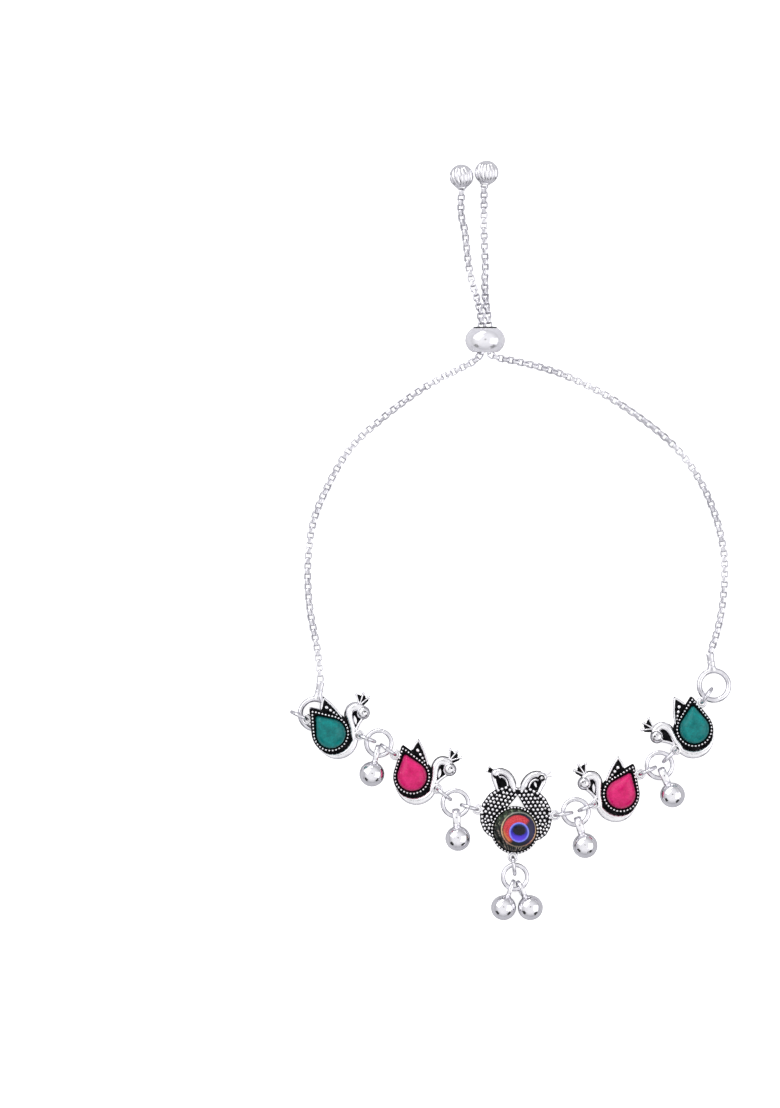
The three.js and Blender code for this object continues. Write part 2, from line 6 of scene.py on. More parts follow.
import bmesh
import bpy
import numpy as np
from mathutils import Matrix, Vector


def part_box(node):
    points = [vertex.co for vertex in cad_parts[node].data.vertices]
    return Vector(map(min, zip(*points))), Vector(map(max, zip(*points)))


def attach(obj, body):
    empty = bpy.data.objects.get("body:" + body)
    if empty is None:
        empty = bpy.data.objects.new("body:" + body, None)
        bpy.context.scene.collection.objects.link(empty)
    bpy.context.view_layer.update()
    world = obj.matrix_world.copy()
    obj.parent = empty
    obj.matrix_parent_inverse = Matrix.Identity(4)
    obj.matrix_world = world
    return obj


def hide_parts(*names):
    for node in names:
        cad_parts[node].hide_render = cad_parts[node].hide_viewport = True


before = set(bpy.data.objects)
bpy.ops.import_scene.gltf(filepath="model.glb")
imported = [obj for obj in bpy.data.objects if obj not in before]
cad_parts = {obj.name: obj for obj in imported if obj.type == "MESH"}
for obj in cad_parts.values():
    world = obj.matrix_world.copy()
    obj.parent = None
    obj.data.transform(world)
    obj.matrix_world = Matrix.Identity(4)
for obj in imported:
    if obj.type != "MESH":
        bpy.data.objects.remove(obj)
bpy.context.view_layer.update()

MM = 0.001
TAU = 2 * pi
UP = Vector((0, 0, 1))
ALONG_X = Matrix.Rotation(pi / 2, 4, "Y")
ALONG_Y = Matrix.Rotation(-pi / 2, 4, "X")
UPRIGHT = Matrix.Rotation(pi / 2, 4, "X")

# Material numbers in a piece
POLISHED, BLACK = 0, 1

# The middle of the outline in the plan, which lies over the frame's origin
MIDDLE = (-0.206, -0.117)

# Photo: its size in pixels, the size of a pixel, and the plan point at its middle
PHOTO_HEIGHT_PX = 1108
PIXEL = 0.2
PHOTO_CENTRE = (-24.3, -2.86)
CAMERA_RISE = 1.5
LENS = 250
SENSOR = 36

# Meshes: welding distance in metres, steps round a pear, and how full a band's dome is
WELD = 1e-7
PEAR_ARC, PEAR_FLANK, PEAR_TIP = 64, 14, 8
DOME_POWER = 0.75

# Chain
LINK_PITCH = 1.03
LINK = {"length": 1.44, "width": 1.4, "strip": 0.7, "thick": 0.2, "edge": 0.05}
LINK_CORNER = 0.26
CHAIN_LOWEST = 0.84
CHAIN_TWIST_TURNS = 2.5
CHAIN_TWIST = radians(24)

# Driving sizes of the rings, bells and beads
SLIDER = {"radius": 4.0, "half": 2.4, "bore": 1.75, "shoulder": 2.45, "x": -5.3, "y": 39.84}
END_BEAD = {"radius": 2.4, "flutes": 15, "depth": 0.24, "twist": 1.0, "inside": 1.3}
LARGE_RING = {"radius": 2.97, "wire": 0.54, "low": 0.62, "high": 1.47}
FLAT_RING = {"wire": 0.45, "height": 1.75}
LINK_RING = {"radius": 1.72, "wire": 0.36}
LINK_RING_LIFT = 0.02
RING_CUT = 0.05
BELL = {"radius": 2.5, "reach": 4.14, "high": 1.15, "long": 1.55, "wire": 0.42, "seam": 0.03}
EYELET = {"radius": 0.83, "wire": 0.23}

# Chain routes, from the loose tail to the end cap. Columns: x, y and z of the chain's middle; a row
# without z lies on the floor, at CHAIN_LOWEST.
LEFT_ROUTE = [
    (-10.02, 71.3, 2.4), (-10.0, 69.6, 2.35), (-10.14, 67.0, 1.6), (-10.0, 64.5, 0.95),
    (-9.4, 62.0), (-9.0, 58.5), (-8.6, 55.0), (-7.95, 51.7, 0.95), (-6.95, 48.3, 2.0),
    (-6.3, 45.6, 3.2), (-6.03, 42.3, 3.97), (-6.03, 39.8, 4.0), (-6.05, 37.4, 3.97),
    (-7.6, 35.6, 3.7), (-11.0, 33.82, 2.9), (-15.28, 31.68, 1.7), (-20.0, 28.75), (-26.0, 24.18),
    (-31.98, 18.58), (-36.44, 11.26), (-39.66, 3.4), (-40.76, -5.04), (-40.4, -13.5),
    (-38.9, -21.8),
]
RIGHT_ROUTE = [
    (-5.2, 72.1, 2.4), (-5.5, 70.3, 2.35), (-5.5, 67.6, 1.6), (-5.5, 65.0, 0.95), (-5.5, 62.3),
    (-5.36, 58.5), (-5.2, 54.5), (-5.3, 51.5, 0.95), (-5.2, 48.2, 2.0), (-4.85, 45.6, 3.2),
    (-4.57, 42.3, 3.97), (-4.57, 39.8, 4.0), (-4.56, 37.5, 3.97), (-3.0, 36.4, 3.78),
    (0.9, 35.6, 2.9), (5.8, 34.45, 1.7), (11.5, 32.5), (20.12, 28.18), (29.76, 21.32),
    (35.68, 15.0), (40.08, 6.78), (42.48, -2.62), (42.42, -11.58), (41.2, -18.3),
]

# Peacock links. Columns: name, x, y, turn, side, lean, stone, back eyelet's height, bright neck hollow.
PEACOCKS = [
    ("outer_left", -36.4, -38.37, 40.4, -1, 11.5, "green", 0.4, True),
    ("inner_left", -19.9, -47.32, 18.3, -1, 0, "pink", 1.8, True),
    ("inner_right", 21.9, -50.86, -24, 1, 0, "pink", 1.8, True),
    ("outer_right", 36.56, -37.82, 4, 1, 0, "green", 1.8, False),
]
PEACOCK_REST = -5.96
CENTRE_PLACE = (0.68, -58.1, -4.4)

# Large rings. Columns: name, x, y, angle of the end cap.
LARGE_RINGS = [("end_ring_left", -39.3, -34.86, 80), ("end_ring_right", 40.51, -29.15, 97)]

# End cap of the chain. Columns: half width, and place past the large ring's middle line.
CAP_PROFILE = [
    (0.0, -0.1), (0.95, -0.05), (0.94, 0.35), (0.8, 0.8), (0.7, 1.2), (0.74, 1.5), (0.76, 1.8),
    (0.66, 1.95), (0.72, 2.15), (0.72, 2.75), (0.78, 2.95), (0.78, 3.35), (0.68, 3.5), (0.0, 3.5),
]
CAP_FLATTENING = 0.69
CAP_MOUTH = 6.5

# Bells. Columns: name, x, y, ring, width of the bail's band, roll of the bail.
BELLS = [
    ("bell_1", -27.92, -46.85, "jump_ring_1", 1.0, 0),
    ("bell_2", -10.74, -59.72, "jump_ring_2", 1.5, 0),
    ("bell_3", 14.68, -61.15, "jump_ring_3", 1.5, 0),
    ("bell_4", 32.16, -51.04, "jump_ring_4", 1.5, 0),
    ("bell_drop_left", -1.62, -73.56, "jump_ring_drop", 0.84, 0),
    ("bell_drop_right", 3.76, -73.55, "jump_ring_drop", 0.84, 12),
]
# Foot of the bail. Columns: half width, and place past the ball's surface.
BELL_FOOT = [(0.0, -0.1), (0.72, -0.12), (0.66, 0.06), (0.5, 0.2), (0.4, 0.34), (0.0, 0.36)]

FLAT_RINGS = [f"jump_ring_{number}" for number in range(1, 5)] + ["jump_ring_drop"]
LINK_RINGS = [f"link_ring_{number}" for number in range(1, 11)] + ["link_ring_drop"]

# Peacock: levels, and the pear outlines as radius of the round part and place of the tip
BASE_TOP = 1.2
BEZEL_TOP = 1.72
GROOVE = (4.05, 7.0)
GROOVE_SHIFT = (-0.2, -0.3)
BORDER = (3.74, 6.55)
BEAD_LINE = (3.42, 5.95)
SEAT = (3.05, 5.05)
STONE = (2.96, 4.85)
# Rows of a stone. Columns: share of the outline, height.
STONE_ROWS = [
    (0.97, 1.3), (1.0, 1.4), (1.0, 1.95), (0.985, 2.2), (0.955, 2.48), (0.9, 2.8), (0.82, 3.08),
    (0.71, 3.32), (0.57, 3.5), (0.4, 3.62), (0.2, 3.68), (0.05, 3.7),
]
BORDER_BEADS = 36
BORDER_BEAD = 0.225
EYELET_HEIGHT = 1.8
HEAD_RADIUS = 1.38
SWIRL_TURNS = 1.9

# Centre piece
CABOCHON = {"radius": 4.22, "foot": 1.5, "spring": 2.1, "top": 4.1}
CENTRE_BEZEL = 4.78
CENTRE_SEAT = 4.3
CENTRE_BEAD_LINE = 4.55
CENTRE_BEADS = 42
CIRCLE_STEPS = 96
GRAIN = {"radius": 0.32, "small": 0.23, "pitch": 0.87, "slant": -0.93, "x": 0.75, "y": 7.85}
WING = [
    (-0.05, 8.5), (-0.05, 7.1), (1.6, 4.7), (3.6, 2.8), (4.6, 0.6), (4.4, -1.8), (5.2, -1.5),
    (6.3, -0.5), (7.0, 1.0), (7.25, 2.8), (6.9, 4.8), (5.7, 6.8), (4.1, 8.1), (2.4, 8.8),
]


# Meshes

class Form:
    """Points and faces in millimetres, each face with a material number."""

    def __init__(self):
        self.points = []
        self.faces = []
        self.marks = []

    def add(self, points, faces, marks=0):
        start = len(self.points)
        self.points.extend(tuple(point) for point in points)
        self.faces.extend(tuple(start + corner for corner in face) for face in faces)
        self.marks.extend([marks] * len(faces) if isinstance(marks, int) else marks)

    def merge(self, other, move=Matrix()):
        self.add([move @ Vector(point) for point in other.points], other.faces, other.marks)

    def mirrored(self):
        twin = Form()
        twin.points = [(-x, y, z) for x, y, z in self.points]
        twin.faces = [tuple(reversed(face)) for face in self.faces]
        twin.marks = list(self.marks)
        return twin


def spoke(angle, radius=1.0):
    """The point of a circle at an angle."""
    return Vector((radius * cos(angle), radius * sin(angle)))


def strip_faces(rows, columns, closed):
    """Faces between rows of points that are closed round; closed joins the last row to the first."""
    faces = []
    for row in range(rows if closed else rows - 1):
        for column in range(columns):
            after = (column + 1) % columns
            upper = (row + 1) % rows
            faces.append((row * columns + column, row * columns + after,
                          upper * columns + after, upper * columns + column))
    return faces


def loft(form, rows, mark=0, closed=False):
    """A skin over rows of points. Closed joins the last row to the first, or else both ends get a cap."""
    columns = len(rows[0])
    faces = strip_faces(len(rows), columns, closed)
    if not closed:
        faces.append(tuple(reversed(range(columns))))
        faces.append(tuple(range((len(rows) - 1) * columns, len(rows) * columns)))
    form.add([point for row in rows for point in row], faces, mark)


def lathe(form, profile, sides, move=None, mark=0, closed=False):
    """Turns rows of (radius, place along Z); a radius of 0 closes an end to a point."""
    points = []
    for radius, place in profile:
        for side in range(sides):
            points.append(Vector((*spoke(TAU * side / sides, radius), place)))
    if move is not None:
        points = [move @ point for point in points]
    form.add(points, strip_faces(len(profile), sides, closed), mark)


def ball(form, centre, radius, around=12, down=8, mark=0):
    profile = []
    for row in range(down + 1):
        angle = pi * row / down
        profile.append((radius * sin(angle), -radius * cos(angle)))
    lathe(form, profile, around, Matrix.Translation(centre), mark)


def sweep(form, path, section, closed=False, mark=0):
    """Carries a section of (across, height) points along a path."""
    count = len(path)
    rows = []
    for at, point in enumerate(path):
        before = path[(at - 1) % count] if closed else path[max(at - 1, 0)]
        after = path[(at + 1) % count] if closed else path[min(at + 1, count - 1)]
        along = (after - before).normalized()
        side = UP.cross(along).normalized()
        top = along.cross(side)
        rows.append([point + side * across + top * height for across, height in section])
    loft(form, rows, mark, closed)


def circle(radius, count):
    return [spoke(TAU * step / count, radius) for step in range(count)]


def wire_ring(form, radius, wire, count, sides, mark=0, move=Matrix()):
    """A closed ring of round wire."""
    ring = Form()
    sweep(ring, [point.to_3d() for point in circle(radius, count)], circle(wire, sides), True, mark)
    form.merge(ring, move)


def split_ring(radius, wire, split, count, sides):
    """A wire ring with a fine cut at the split angle."""
    half = RING_CUT / (2 * radius)
    start, reach = split + half, TAU - 2 * half
    path = []
    for step in range(count):
        path.append(spoke(start + reach * step / (count - 1), radius).to_3d())
    form = Form()
    sweep(form, path, circle(wire, sides))
    return form


def smooth_line(rows, steps):
    """A Catmull-Rom line through rows of any length."""
    table = [np.array(row, float) for row in rows]
    line = []
    for at in range(len(table) - 1):
        a = table[max(at - 1, 0)]
        b, c = table[at], table[at + 1]
        d = table[min(at + 2, len(table) - 1)]
        for step in range(steps):
            t = step / steps
            line.append(0.5 * (2 * b + (c - a) * t + (2 * a - 5 * b + 4 * c - d) * t ** 2
                               + (3 * b - a - 3 * c + d) * t ** 3))
    line.append(table[-1])
    return line


def puffy_band(form, rows, foot, top, mark=0, arch=8, edge=0.64, steps=6):
    """A band with a domed back. Columns of rows: x, y, half the width, and maybe height."""
    line = smooth_line(rows, steps)
    sections = []
    count = len(line)
    for at, row in enumerate(line):
        x, y, half = row[:3]
        before, after = line[max(at - 1, 0)], line[min(at + 1, count - 1)]
        along = Vector((after[0] - before[0], after[1] - before[1], 0)).normalized()
        side = Vector((-along.y, along.x, 0))
        peak = row[3] if len(row) > 3 else top
        wall = foot + (peak - foot) * edge
        middle = Vector((x, y, 0))
        section = [middle + side * half + UP * foot]
        for step in range(arch + 1):
            angle = pi * step / arch
            across = half * cos(angle)
            height = wall + (peak - wall) * sin(angle) ** DOME_POWER
            section.append(middle + side * across + UP * height)
        section.append(middle - side * half + UP * foot)
        sections.append(section)
    loft(form, sections, mark)


def black_line(form, rows, top, foot=0.0):
    """A flat blackened band. Columns of rows: x, y and half the width."""
    puffy_band(form, rows, foot, top, BLACK, arch=10, edge=0.9)


def inset(outline, distance):
    """An outline moved inwards by a distance, corner by corner; it runs counter-clockwise."""
    outline = [Vector(point) for point in outline]
    moved = []
    for a, b, c in zip(outline[-1:] + outline, outline, outline[1:] + outline[:1]):
        first = (b - a).normalized()
        second = (c - b).normalized()
        normal = Vector((-(first.y + second.y), first.x + second.x))
        if normal.length < 1e-6:
            normal = Vector((-first.y, first.x))
        normal.normalize()
        cosine = max(normal.dot(Vector((-first.y, first.x))), 0.5)
        moved.append(b + normal * (distance / cosine))
    return moved


def level(outline, height):
    return [Vector((point[0], point[1], height)) for point in outline]


def slab(form, outline, foot, top, bevel=0.08):
    """An extruded outline with a rounded upper edge, black above and polished below and on its walls."""
    start = len(form.faces)
    loft(form, [level(outline, foot), level(outline, top - bevel),
                level(inset(outline, bevel * 0.35), top - bevel * 0.3),
                level(inset(outline, bevel), top)], BLACK)
    count = len(outline)
    form.marks[start:start + count] = [POLISHED] * count
    form.marks[start + 3 * count] = POLISHED


def pear(size, tip_round=0.3, shift=(0, 0)):
    """A round bottom with two tangent flanks and a softened tip on +Y, counter-clockwise."""
    radius, tip = size
    start = asin(radius / tip)
    points = []
    for step in range(PEAR_ARC + 1):
        angle = pi - start + (pi + 2 * start) * step / PEAR_ARC
        points.append(spoke(angle, radius))
    reach = tip_round / tan(start)
    foot = spoke(start, radius)
    apex = Vector((0, tip))
    near = apex + (foot - apex).normalized() * reach
    for step in range(1, PEAR_FLANK):
        points.append(foot.lerp(near, step / PEAR_FLANK))
    middle = Vector((0, tip - tip_round / sin(start)))
    spread = pi / 2 - start
    for step in range(PEAR_TIP + 1):
        angle = pi / 2 - spread + 2 * spread * step / PEAR_TIP
        points.append(middle + spoke(angle, tip_round))
    far = Vector((-near.x, near.y))
    left_foot = Vector((-foot.x, foot.y))
    for step in range(1, PEAR_FLANK):
        points.append(far.lerp(left_foot, step / PEAR_FLANK))
    return [point + Vector(shift) for point in points]


def running_lengths(line):
    lengths = [0.0]
    for a, b in zip(line, line[1:]):
        lengths.append(lengths[-1] + (b - a).length)
    return lengths


def along_outline(outline, count):
    """Points at even distances round a closed outline."""
    closed = outline + outline[:1]
    lengths = running_lengths(closed)
    places = []
    at = 0
    for step in range(count):
        target = step / count * lengths[-1]
        while lengths[at + 1] < target:
            at += 1
        share = (target - lengths[at]) / (lengths[at + 1] - lengths[at])
        places.append(closed[at].lerp(closed[at + 1], share))
    return places


def black_rim(form, outer, inner, foot, top, bevel=0.1):
    """A blackened rim between two outlines with the same number of points."""
    rows = [
        level(outer, foot), level(outer, top - bevel), level(inset(outer, bevel), top),
        level(inset(inner, -bevel), top), level(inner, top - bevel), level(inner, foot),
    ]
    loft(form, rows, BLACK, closed=True)


def add_object(name, data):
    thing = bpy.data.objects.new(name, data)
    bpy.context.scene.collection.objects.link(thing)
    return thing


def piece(form, name, materials, nodes, place=Matrix(), sharp=38):
    """Makes the mesh object of a piece that rides on the part and stands for its nodes."""
    mesh = bpy.data.meshes.new(name)
    points = [(x * MM, y * MM, z * MM) for x, y, z in form.points]
    mesh.from_pydata(points, [], form.faces)
    for material in materials:
        mesh.materials.append(material)
    mesh.polygons.foreach_set("material_index", form.marks)
    mesh.validate()
    # Close the poles, drop faces without area and turn every face outwards
    shell = bmesh.new()
    shell.from_mesh(mesh)
    bmesh.ops.remove_doubles(shell, verts=shell.verts, dist=WELD)
    bmesh.ops.dissolve_degenerate(shell, edges=shell.edges, dist=WELD)
    bmesh.ops.recalc_face_normals(shell, faces=shell.faces)
    shell.to_mesh(mesh)
    shell.free()
    mesh.polygons.foreach_set("use_smooth", [True] * len(mesh.polygons))
    mesh.set_sharp_from_angle(angle=radians(sharp))
    thing = add_object(name, mesh)
    moved = place.copy()
    moved.translation = place.translation * MM
    thing.matrix_world = moved
    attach(thing, "root")
    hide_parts(*nodes)


def plan(x, y, z=0.0):
    """A place in the frame for a point of the plan."""
    return Vector((x - MIDDLE[0], y - MIDDLE[1], z))


def about_z(angle):
    return Matrix.Rotation(angle, 4, "Z")


# Materials

def new_material(name):
    material = bpy.data.materials.new(name)
    material.use_nodes = True
    tree = material.node_tree
    shader = tree.nodes["Principled BSDF"]
    return material, tree, shader


def add_node(tree, kind, **values):
    node = tree.nodes.new(kind)
    for key, value in values.items():
        if key in node.inputs:
            node.inputs[key].default_value = value
        else:
            setattr(node, key, value)
    return node


def join(tree, socket, value):
    """Links a node's output to a socket, or sets the socket to a constant."""
    if isinstance(value, bpy.types.NodeSocket):
        tree.links.new(value, socket)
    else:
        socket.default_value = value


def reckon(tree, operation, *values):
    """One step of arithmetic on numbers or outputs."""
    node = add_node(tree, "ShaderNodeMath", operation=operation)
    for socket, value in zip(node.inputs, values):
        join(tree, socket, value)
    return node.outputs[0]


def split_axes(tree, vector):
    node = tree.nodes.new("ShaderNodeSeparateXYZ")
    tree.links.new(vector, node.inputs[0])
    return node.outputs


def object_place(tree):
    return tree.nodes.new("ShaderNodeTexCoord").outputs["Object"]


def noise(tree, place, scale, detail=3.0, roughness=0.55):
    node = add_node(tree, "ShaderNodeTexNoise", Scale=scale, Detail=detail, Roughness=roughness)
    tree.links.new(place, node.inputs["Vector"])
    return node.outputs["Fac"]


def ramp(tree, factor, stops):
    node = tree.nodes.new("ShaderNodeValToRGB")
    elements = node.color_ramp.elements
    while len(elements) < len(stops):
        elements.new(0.5)
    for element, (position, color) in zip(elements, stops):
        element.position = position
        element.color = (*color, 1)
    tree.links.new(factor, node.inputs["Fac"])
    return node.outputs["Color"]


def mapped(tree, value, low, high, to_low=0.0, to_high=1.0, kind="LINEAR"):
    node = add_node(tree, "ShaderNodeMapRange", interpolation_type=kind)
    for socket, number in zip(node.inputs[1:5], (low, high, to_low, to_high)):
        socket.default_value = number
    tree.links.new(value, node.inputs["Value"])
    return node.outputs["Result"]


def faded(tree, value, none, full):
    """0 at the value none and 1 at the value full, with a soft step between them."""
    if none < full:
        return mapped(tree, value, none, full, kind="SMOOTHSTEP")
    return mapped(tree, value, full, none, 1.0, 0.0, "SMOOTHSTEP")


def bump(tree, shader, height, strength, distance):
    node = add_node(tree, "ShaderNodeBump", Strength=strength, Distance=distance)
    tree.links.new(height, node.inputs["Height"])
    tree.links.new(node.outputs["Normal"], shader.inputs["Normal"])


def silver_material(name, light, dark, rough_low, rough_high, dents, metal=1.0):
    """Polished silver plate: patchy brightness, uneven polish and soft casting dents."""
    material, tree, shader = new_material(name)
    place = object_place(tree)
    patches = noise(tree, place, 420.0, 4.0)
    tree.links.new(ramp(tree, patches, [(0.32, dark), (0.6, light)]), shader.inputs["Base Color"])
    fine = noise(tree, place, 1900.0, 3.0, 0.6)
    tree.links.new(mapped(tree, fine, 0.3, 0.7, rough_low, rough_high), shader.inputs["Roughness"])
    shader.inputs["Metallic"].default_value = metal
    bump(tree, shader, noise(tree, place, 700.0, 2.0), dents, 0.0003)
    return material


def oxide_material():
    """Blackened recess: nearly black, a little uneven, with grey where polish has caught it."""
    material, tree, shader = new_material("black_oxide")
    place = object_place(tree)
    patches = noise(tree, place, 900.0, 5.0, 0.65)
    color = ramp(tree, patches, [(0.35, (0.002, 0.002, 0.003)), (0.62, (0.012, 0.012, 0.014)),
                                 (0.78, (0.06, 0.06, 0.065))])
    tree.links.new(color, shader.inputs["Base Color"])
    tree.links.new(mapped(tree, patches, 0.3, 0.8, 0.62, 0.4), shader.inputs["Roughness"])
    shader.inputs["Metallic"].default_value = 0.3
    shader.inputs["Specular IOR Level"].default_value = 0.03
    bump(tree, shader, patches, 0.5, 0.0002)
    return material


def stone_material(name, stops, rim_shade_color, coat):
    """Glossy stone with fine mottling and cloudy patches, and painted shade that darkens its lower sides.
    """
    material, tree, shader = new_material(name)
    place = object_place(tree)
    clouds = noise(tree, place, 520.0, 4.0, 0.6)
    specks = noise(tree, place, 2600.0, 3.0, 0.7)
    both = reckon(tree, "MULTIPLY_ADD", specks, 0.55, mapped(tree, clouds, 0.0, 1.0, -0.28, 0.72))
    body = ramp(tree, both, stops)
    # Painted shade: the stone's lower sides, from 3.3 mm down to 1.9 mm high, blend to a darker colour.
    rim = faded(tree, split_axes(tree, place)["Z"], 3.3 * MM, 1.9 * MM)
    tree.links.new(blend_color(tree, rim, body, rim_shade_color), shader.inputs["Base Color"])
    shader.inputs["Roughness"].default_value = 0.3
    shader.inputs["Specular IOR Level"].default_value = 0.1
    shader.inputs["Coat Weight"].default_value = coat
    shader.inputs["Coat Roughness"].default_value = 0.12
    bump(tree, shader, clouds, 0.12, 0.0002)
    return material


def distance_to(tree, x, y, centre, stretch=(1.0, 1.0)):
    """Distance in millimetres from a centre, in a frame that may be stretched."""
    place = tree.nodes.new("ShaderNodeCombineXYZ")
    tree.links.new(x, place.inputs[0])
    tree.links.new(y, place.inputs[1])
    moved = add_node(tree, "ShaderNodeMapping", vector_type="TEXTURE", Location=(*centre, 0),
                     Scale=(*stretch, 1))
    tree.links.new(place.outputs[0], moved.inputs["Vector"])
    length = add_node(tree, "ShaderNodeVectorMath", operation="LENGTH")
    tree.links.new(moved.outputs[0], length.inputs[0])
    return length.outputs["Value"]


def blend_color(tree, factor, below, above):
    mix = add_node(tree, "ShaderNodeMix", data_type="RGBA")
    tree.links.new(factor, mix.inputs[0])
    for socket, color in ((mix.inputs[6], below), (mix.inputs[7], above)):
        join(tree, socket, (*color, 1) if isinstance(color, tuple) else color)
    return mix.outputs[2]


def feather_material():
    """A clear dome over a feather eye: dark barbs, a gold line, a red crescent and a blue eye."""
    material, tree, shader = new_material("feather_print")
    scaled = add_node(tree, "ShaderNodeVectorMath", operation="SCALE")
    scaled.inputs["Scale"].default_value = 1 / MM
    tree.links.new(object_place(tree), scaled.inputs[0])
    grain_low = noise(tree, scaled.outputs[0], 1.3)
    grain_fine = noise(tree, scaled.outputs[0], 5.0)
    axes = split_axes(tree, scaled.outputs[0])
    x, y = axes["X"], axes["Y"]
    # Barbs fan out from below, so their stripes follow the angle about a low point
    angle = reckon(tree, "ARCTAN2", x, reckon(tree, "ADD", y, 6.5))
    wobble = reckon(tree, "MULTIPLY_ADD", grain_low, 0.22, angle)
    wave = reckon(tree, "SINE", reckon(tree, "MULTIPLY", wobble, 46.0))
    patches = mapped(tree, grain_low, 0.35, 0.65, 0.2, 1.0)
    patchy = reckon(tree, "MULTIPLY", mapped(tree, wave, -1, 1), patches)
    barbs = ramp(tree, patchy, [(0.0, (0.001, 0.002, 0.002)), (0.3, (0.006, 0.009, 0.008)),
                                (0.55, (0.04, 0.05, 0.042)), (0.85, (0.34, 0.26, 0.22))])
    mossy = ramp(tree, patchy, [(0.0, (0.004, 0.008, 0.004)), (0.35, (0.02, 0.035, 0.018)),
                                (0.6, (0.06, 0.1, 0.05)), (0.9, (0.2, 0.24, 0.17))])
    color = blend_color(tree, faded(tree, y, -0.5, 2.6), barbs, mossy)
    fray = mapped(tree, grain_fine, 0.2, 0.8, -0.14, 0.14)

    def frayed(centre, stretch=(1.0, 1.0)):
        return reckon(tree, "ADD", distance_to(tree, x, y, centre, stretch), fray)

    # A fine line rings the eye: cream on the left and right, grey at the top, green below
    ring_far = frayed((0.73, 0.24))
    line = ramp(tree, mapped(tree, y, -3.4, 3.6),
                [(0.0, (0.1, 0.14, 0.09)), (0.16, (0.5, 0.22, 0.17)), (0.45, (0.78, 0.5, 0.27)),
                 (0.75, (0.5, 0.42, 0.27)), (1.0, (0.22, 0.24, 0.22))])
    color = blend_color(tree, faded(tree, ring_far, 3.6, 3.47), color, line)
    under = ramp(tree, mapped(tree, x, -1.0, 3.4),
                 [(0.0, (0.006, 0.012, 0.008)), (0.6, (0.008, 0.012, 0.02)),
                  (1.0, (0.03, 0.028, 0.08))])
    color = blend_color(tree, faded(tree, ring_far, 3.36, 3.26), color, under)
    # Red barbs fill the upper left, turn orange at the line and thin out below
    eye_far = distance_to(tree, x, y, (0.83, -0.28))
    lean = add_node(tree, "ShaderNodeVectorMath", operation="DOT_PRODUCT")
    tree.links.new(scaled.outputs[0], lean.inputs[0])
    lean.inputs[1].default_value = (-0.8, 0.6, 0)
    side = faded(tree, lean.outputs["Value"], -1.2, -0.35)
    red_far = frayed((0.56, 0.16))
    red_mask = reckon(tree, "MULTIPLY", faded(tree, red_far, 3.1, 2.8), side)
    streaks = mapped(tree, grain_fine, 0.25, 0.75)
    red = ramp(tree, streaks, [(0.0, (0.26, 0.012, 0.03)), (0.45, (0.6, 0.035, 0.055)),
                               (1.0, (0.8, 0.13, 0.12))])
    orange = ramp(tree, streaks, [(0.0, (0.4, 0.06, 0.02)), (1.0, (0.85, 0.3, 0.1))])
    glow = reckon(tree, "MULTIPLY", faded(tree, red_far, 2.2, 2.8), faded(tree, y, 0.6, -0.9))
    color = blend_color(tree, red_mask, color, blend_color(tree, glow, red, orange))
    # The blue eye: a pale edge, violet below and deep teal above, about an almost black core
    pale = ramp(tree, grain_fine, [(0.3, (0.14, 0.16, 0.85)), (0.8, (0.36, 0.38, 0.98))])
    color = blend_color(tree, faded(tree, eye_far, 2.08, 1.92), color, pale)
    blue = ramp(tree, mapped(tree, y, -2.1, 1.6),
                [(0.0, (0.15, 0.07, 0.85)), (0.45, (0.03, 0.02, 0.5)), (1.0, (0.008, 0.05, 0.1))])
    color = blend_color(tree, faded(tree, eye_far, 1.85, 1.55), color, blue)
    core = faded(tree, frayed((0.83, 0.1), (1.3, 1.0)), 1.25, 0.85)
    dark = ramp(tree, grain_fine, [(0.3, (0.002, 0.002, 0.008)), (0.8, (0.02, 0.016, 0.03))])
    color = blend_color(tree, core, color, dark)
    tree.links.new(color, shader.inputs["Base Color"])
    shader.inputs["Roughness"].default_value = 0.3
    shader.inputs["Specular IOR Level"].default_value = 0.12
    shader.inputs["Coat Weight"].default_value = 0.3
    shader.inputs["Coat Roughness"].default_value = 0.04
    return material


SILVER = silver_material("polished_silver", (0.95, 0.94, 0.97), (0.8, 0.79, 0.83), 0.09, 0.2, 0.1)
CHAIN_SILVER = silver_material(
    "chain_silver_metal", (0.9, 0.89, 0.93), (0.64, 0.63, 0.68), 0.14, 0.28, 0.12)
RING_SILVER = silver_material(
    "drawn_silver", (0.91, 0.9, 0.94), (0.64, 0.63, 0.68), 0.1, 0.24, 0.2)
CAST_SILVER = silver_material(
    "cast_silver", (0.99, 0.98, 1.0), (0.82, 0.81, 0.84), 0.14, 0.3, 0.22)
BELL_SILVER = silver_material("satin_silver", (0.96, 0.95, 0.98), (0.82, 0.81, 0.85), 0.06, 0.15, 0.2)
SLIDER_SILVER = silver_material(
    "white_silver", (0.96, 0.95, 0.98), (0.86, 0.85, 0.9), 0.09, 0.18, 0.1, metal=0.68)
OXIDE = oxide_material()
GREEN = stone_material(
    "teal_stone",
    [(0.15, (0.001, 0.08, 0.085)), (0.45, (0.001, 0.18, 0.175)), (0.65, (0.001, 0.26, 0.25)),
     (0.9, (0.012, 0.38, 0.34))],
    # Last: the painted shade colour of the lower sides, and the coat weight.
    (0.001, 0.08, 0.08), 0.35)
PINK = stone_material(
    "pink_stone_body",
    [(0.15, (0.4, 0.003, 0.07)), (0.45, (0.66, 0.006, 0.14)), (0.65, (0.8, 0.015, 0.19)),
     (0.9, (0.86, 0.06, 0.27))],
    # Last: the painted shade colour of the lower sides, and the coat weight.
    (0.2, 0.008, 0.05), 0.5)
FEATHER = feather_material()


# Chain

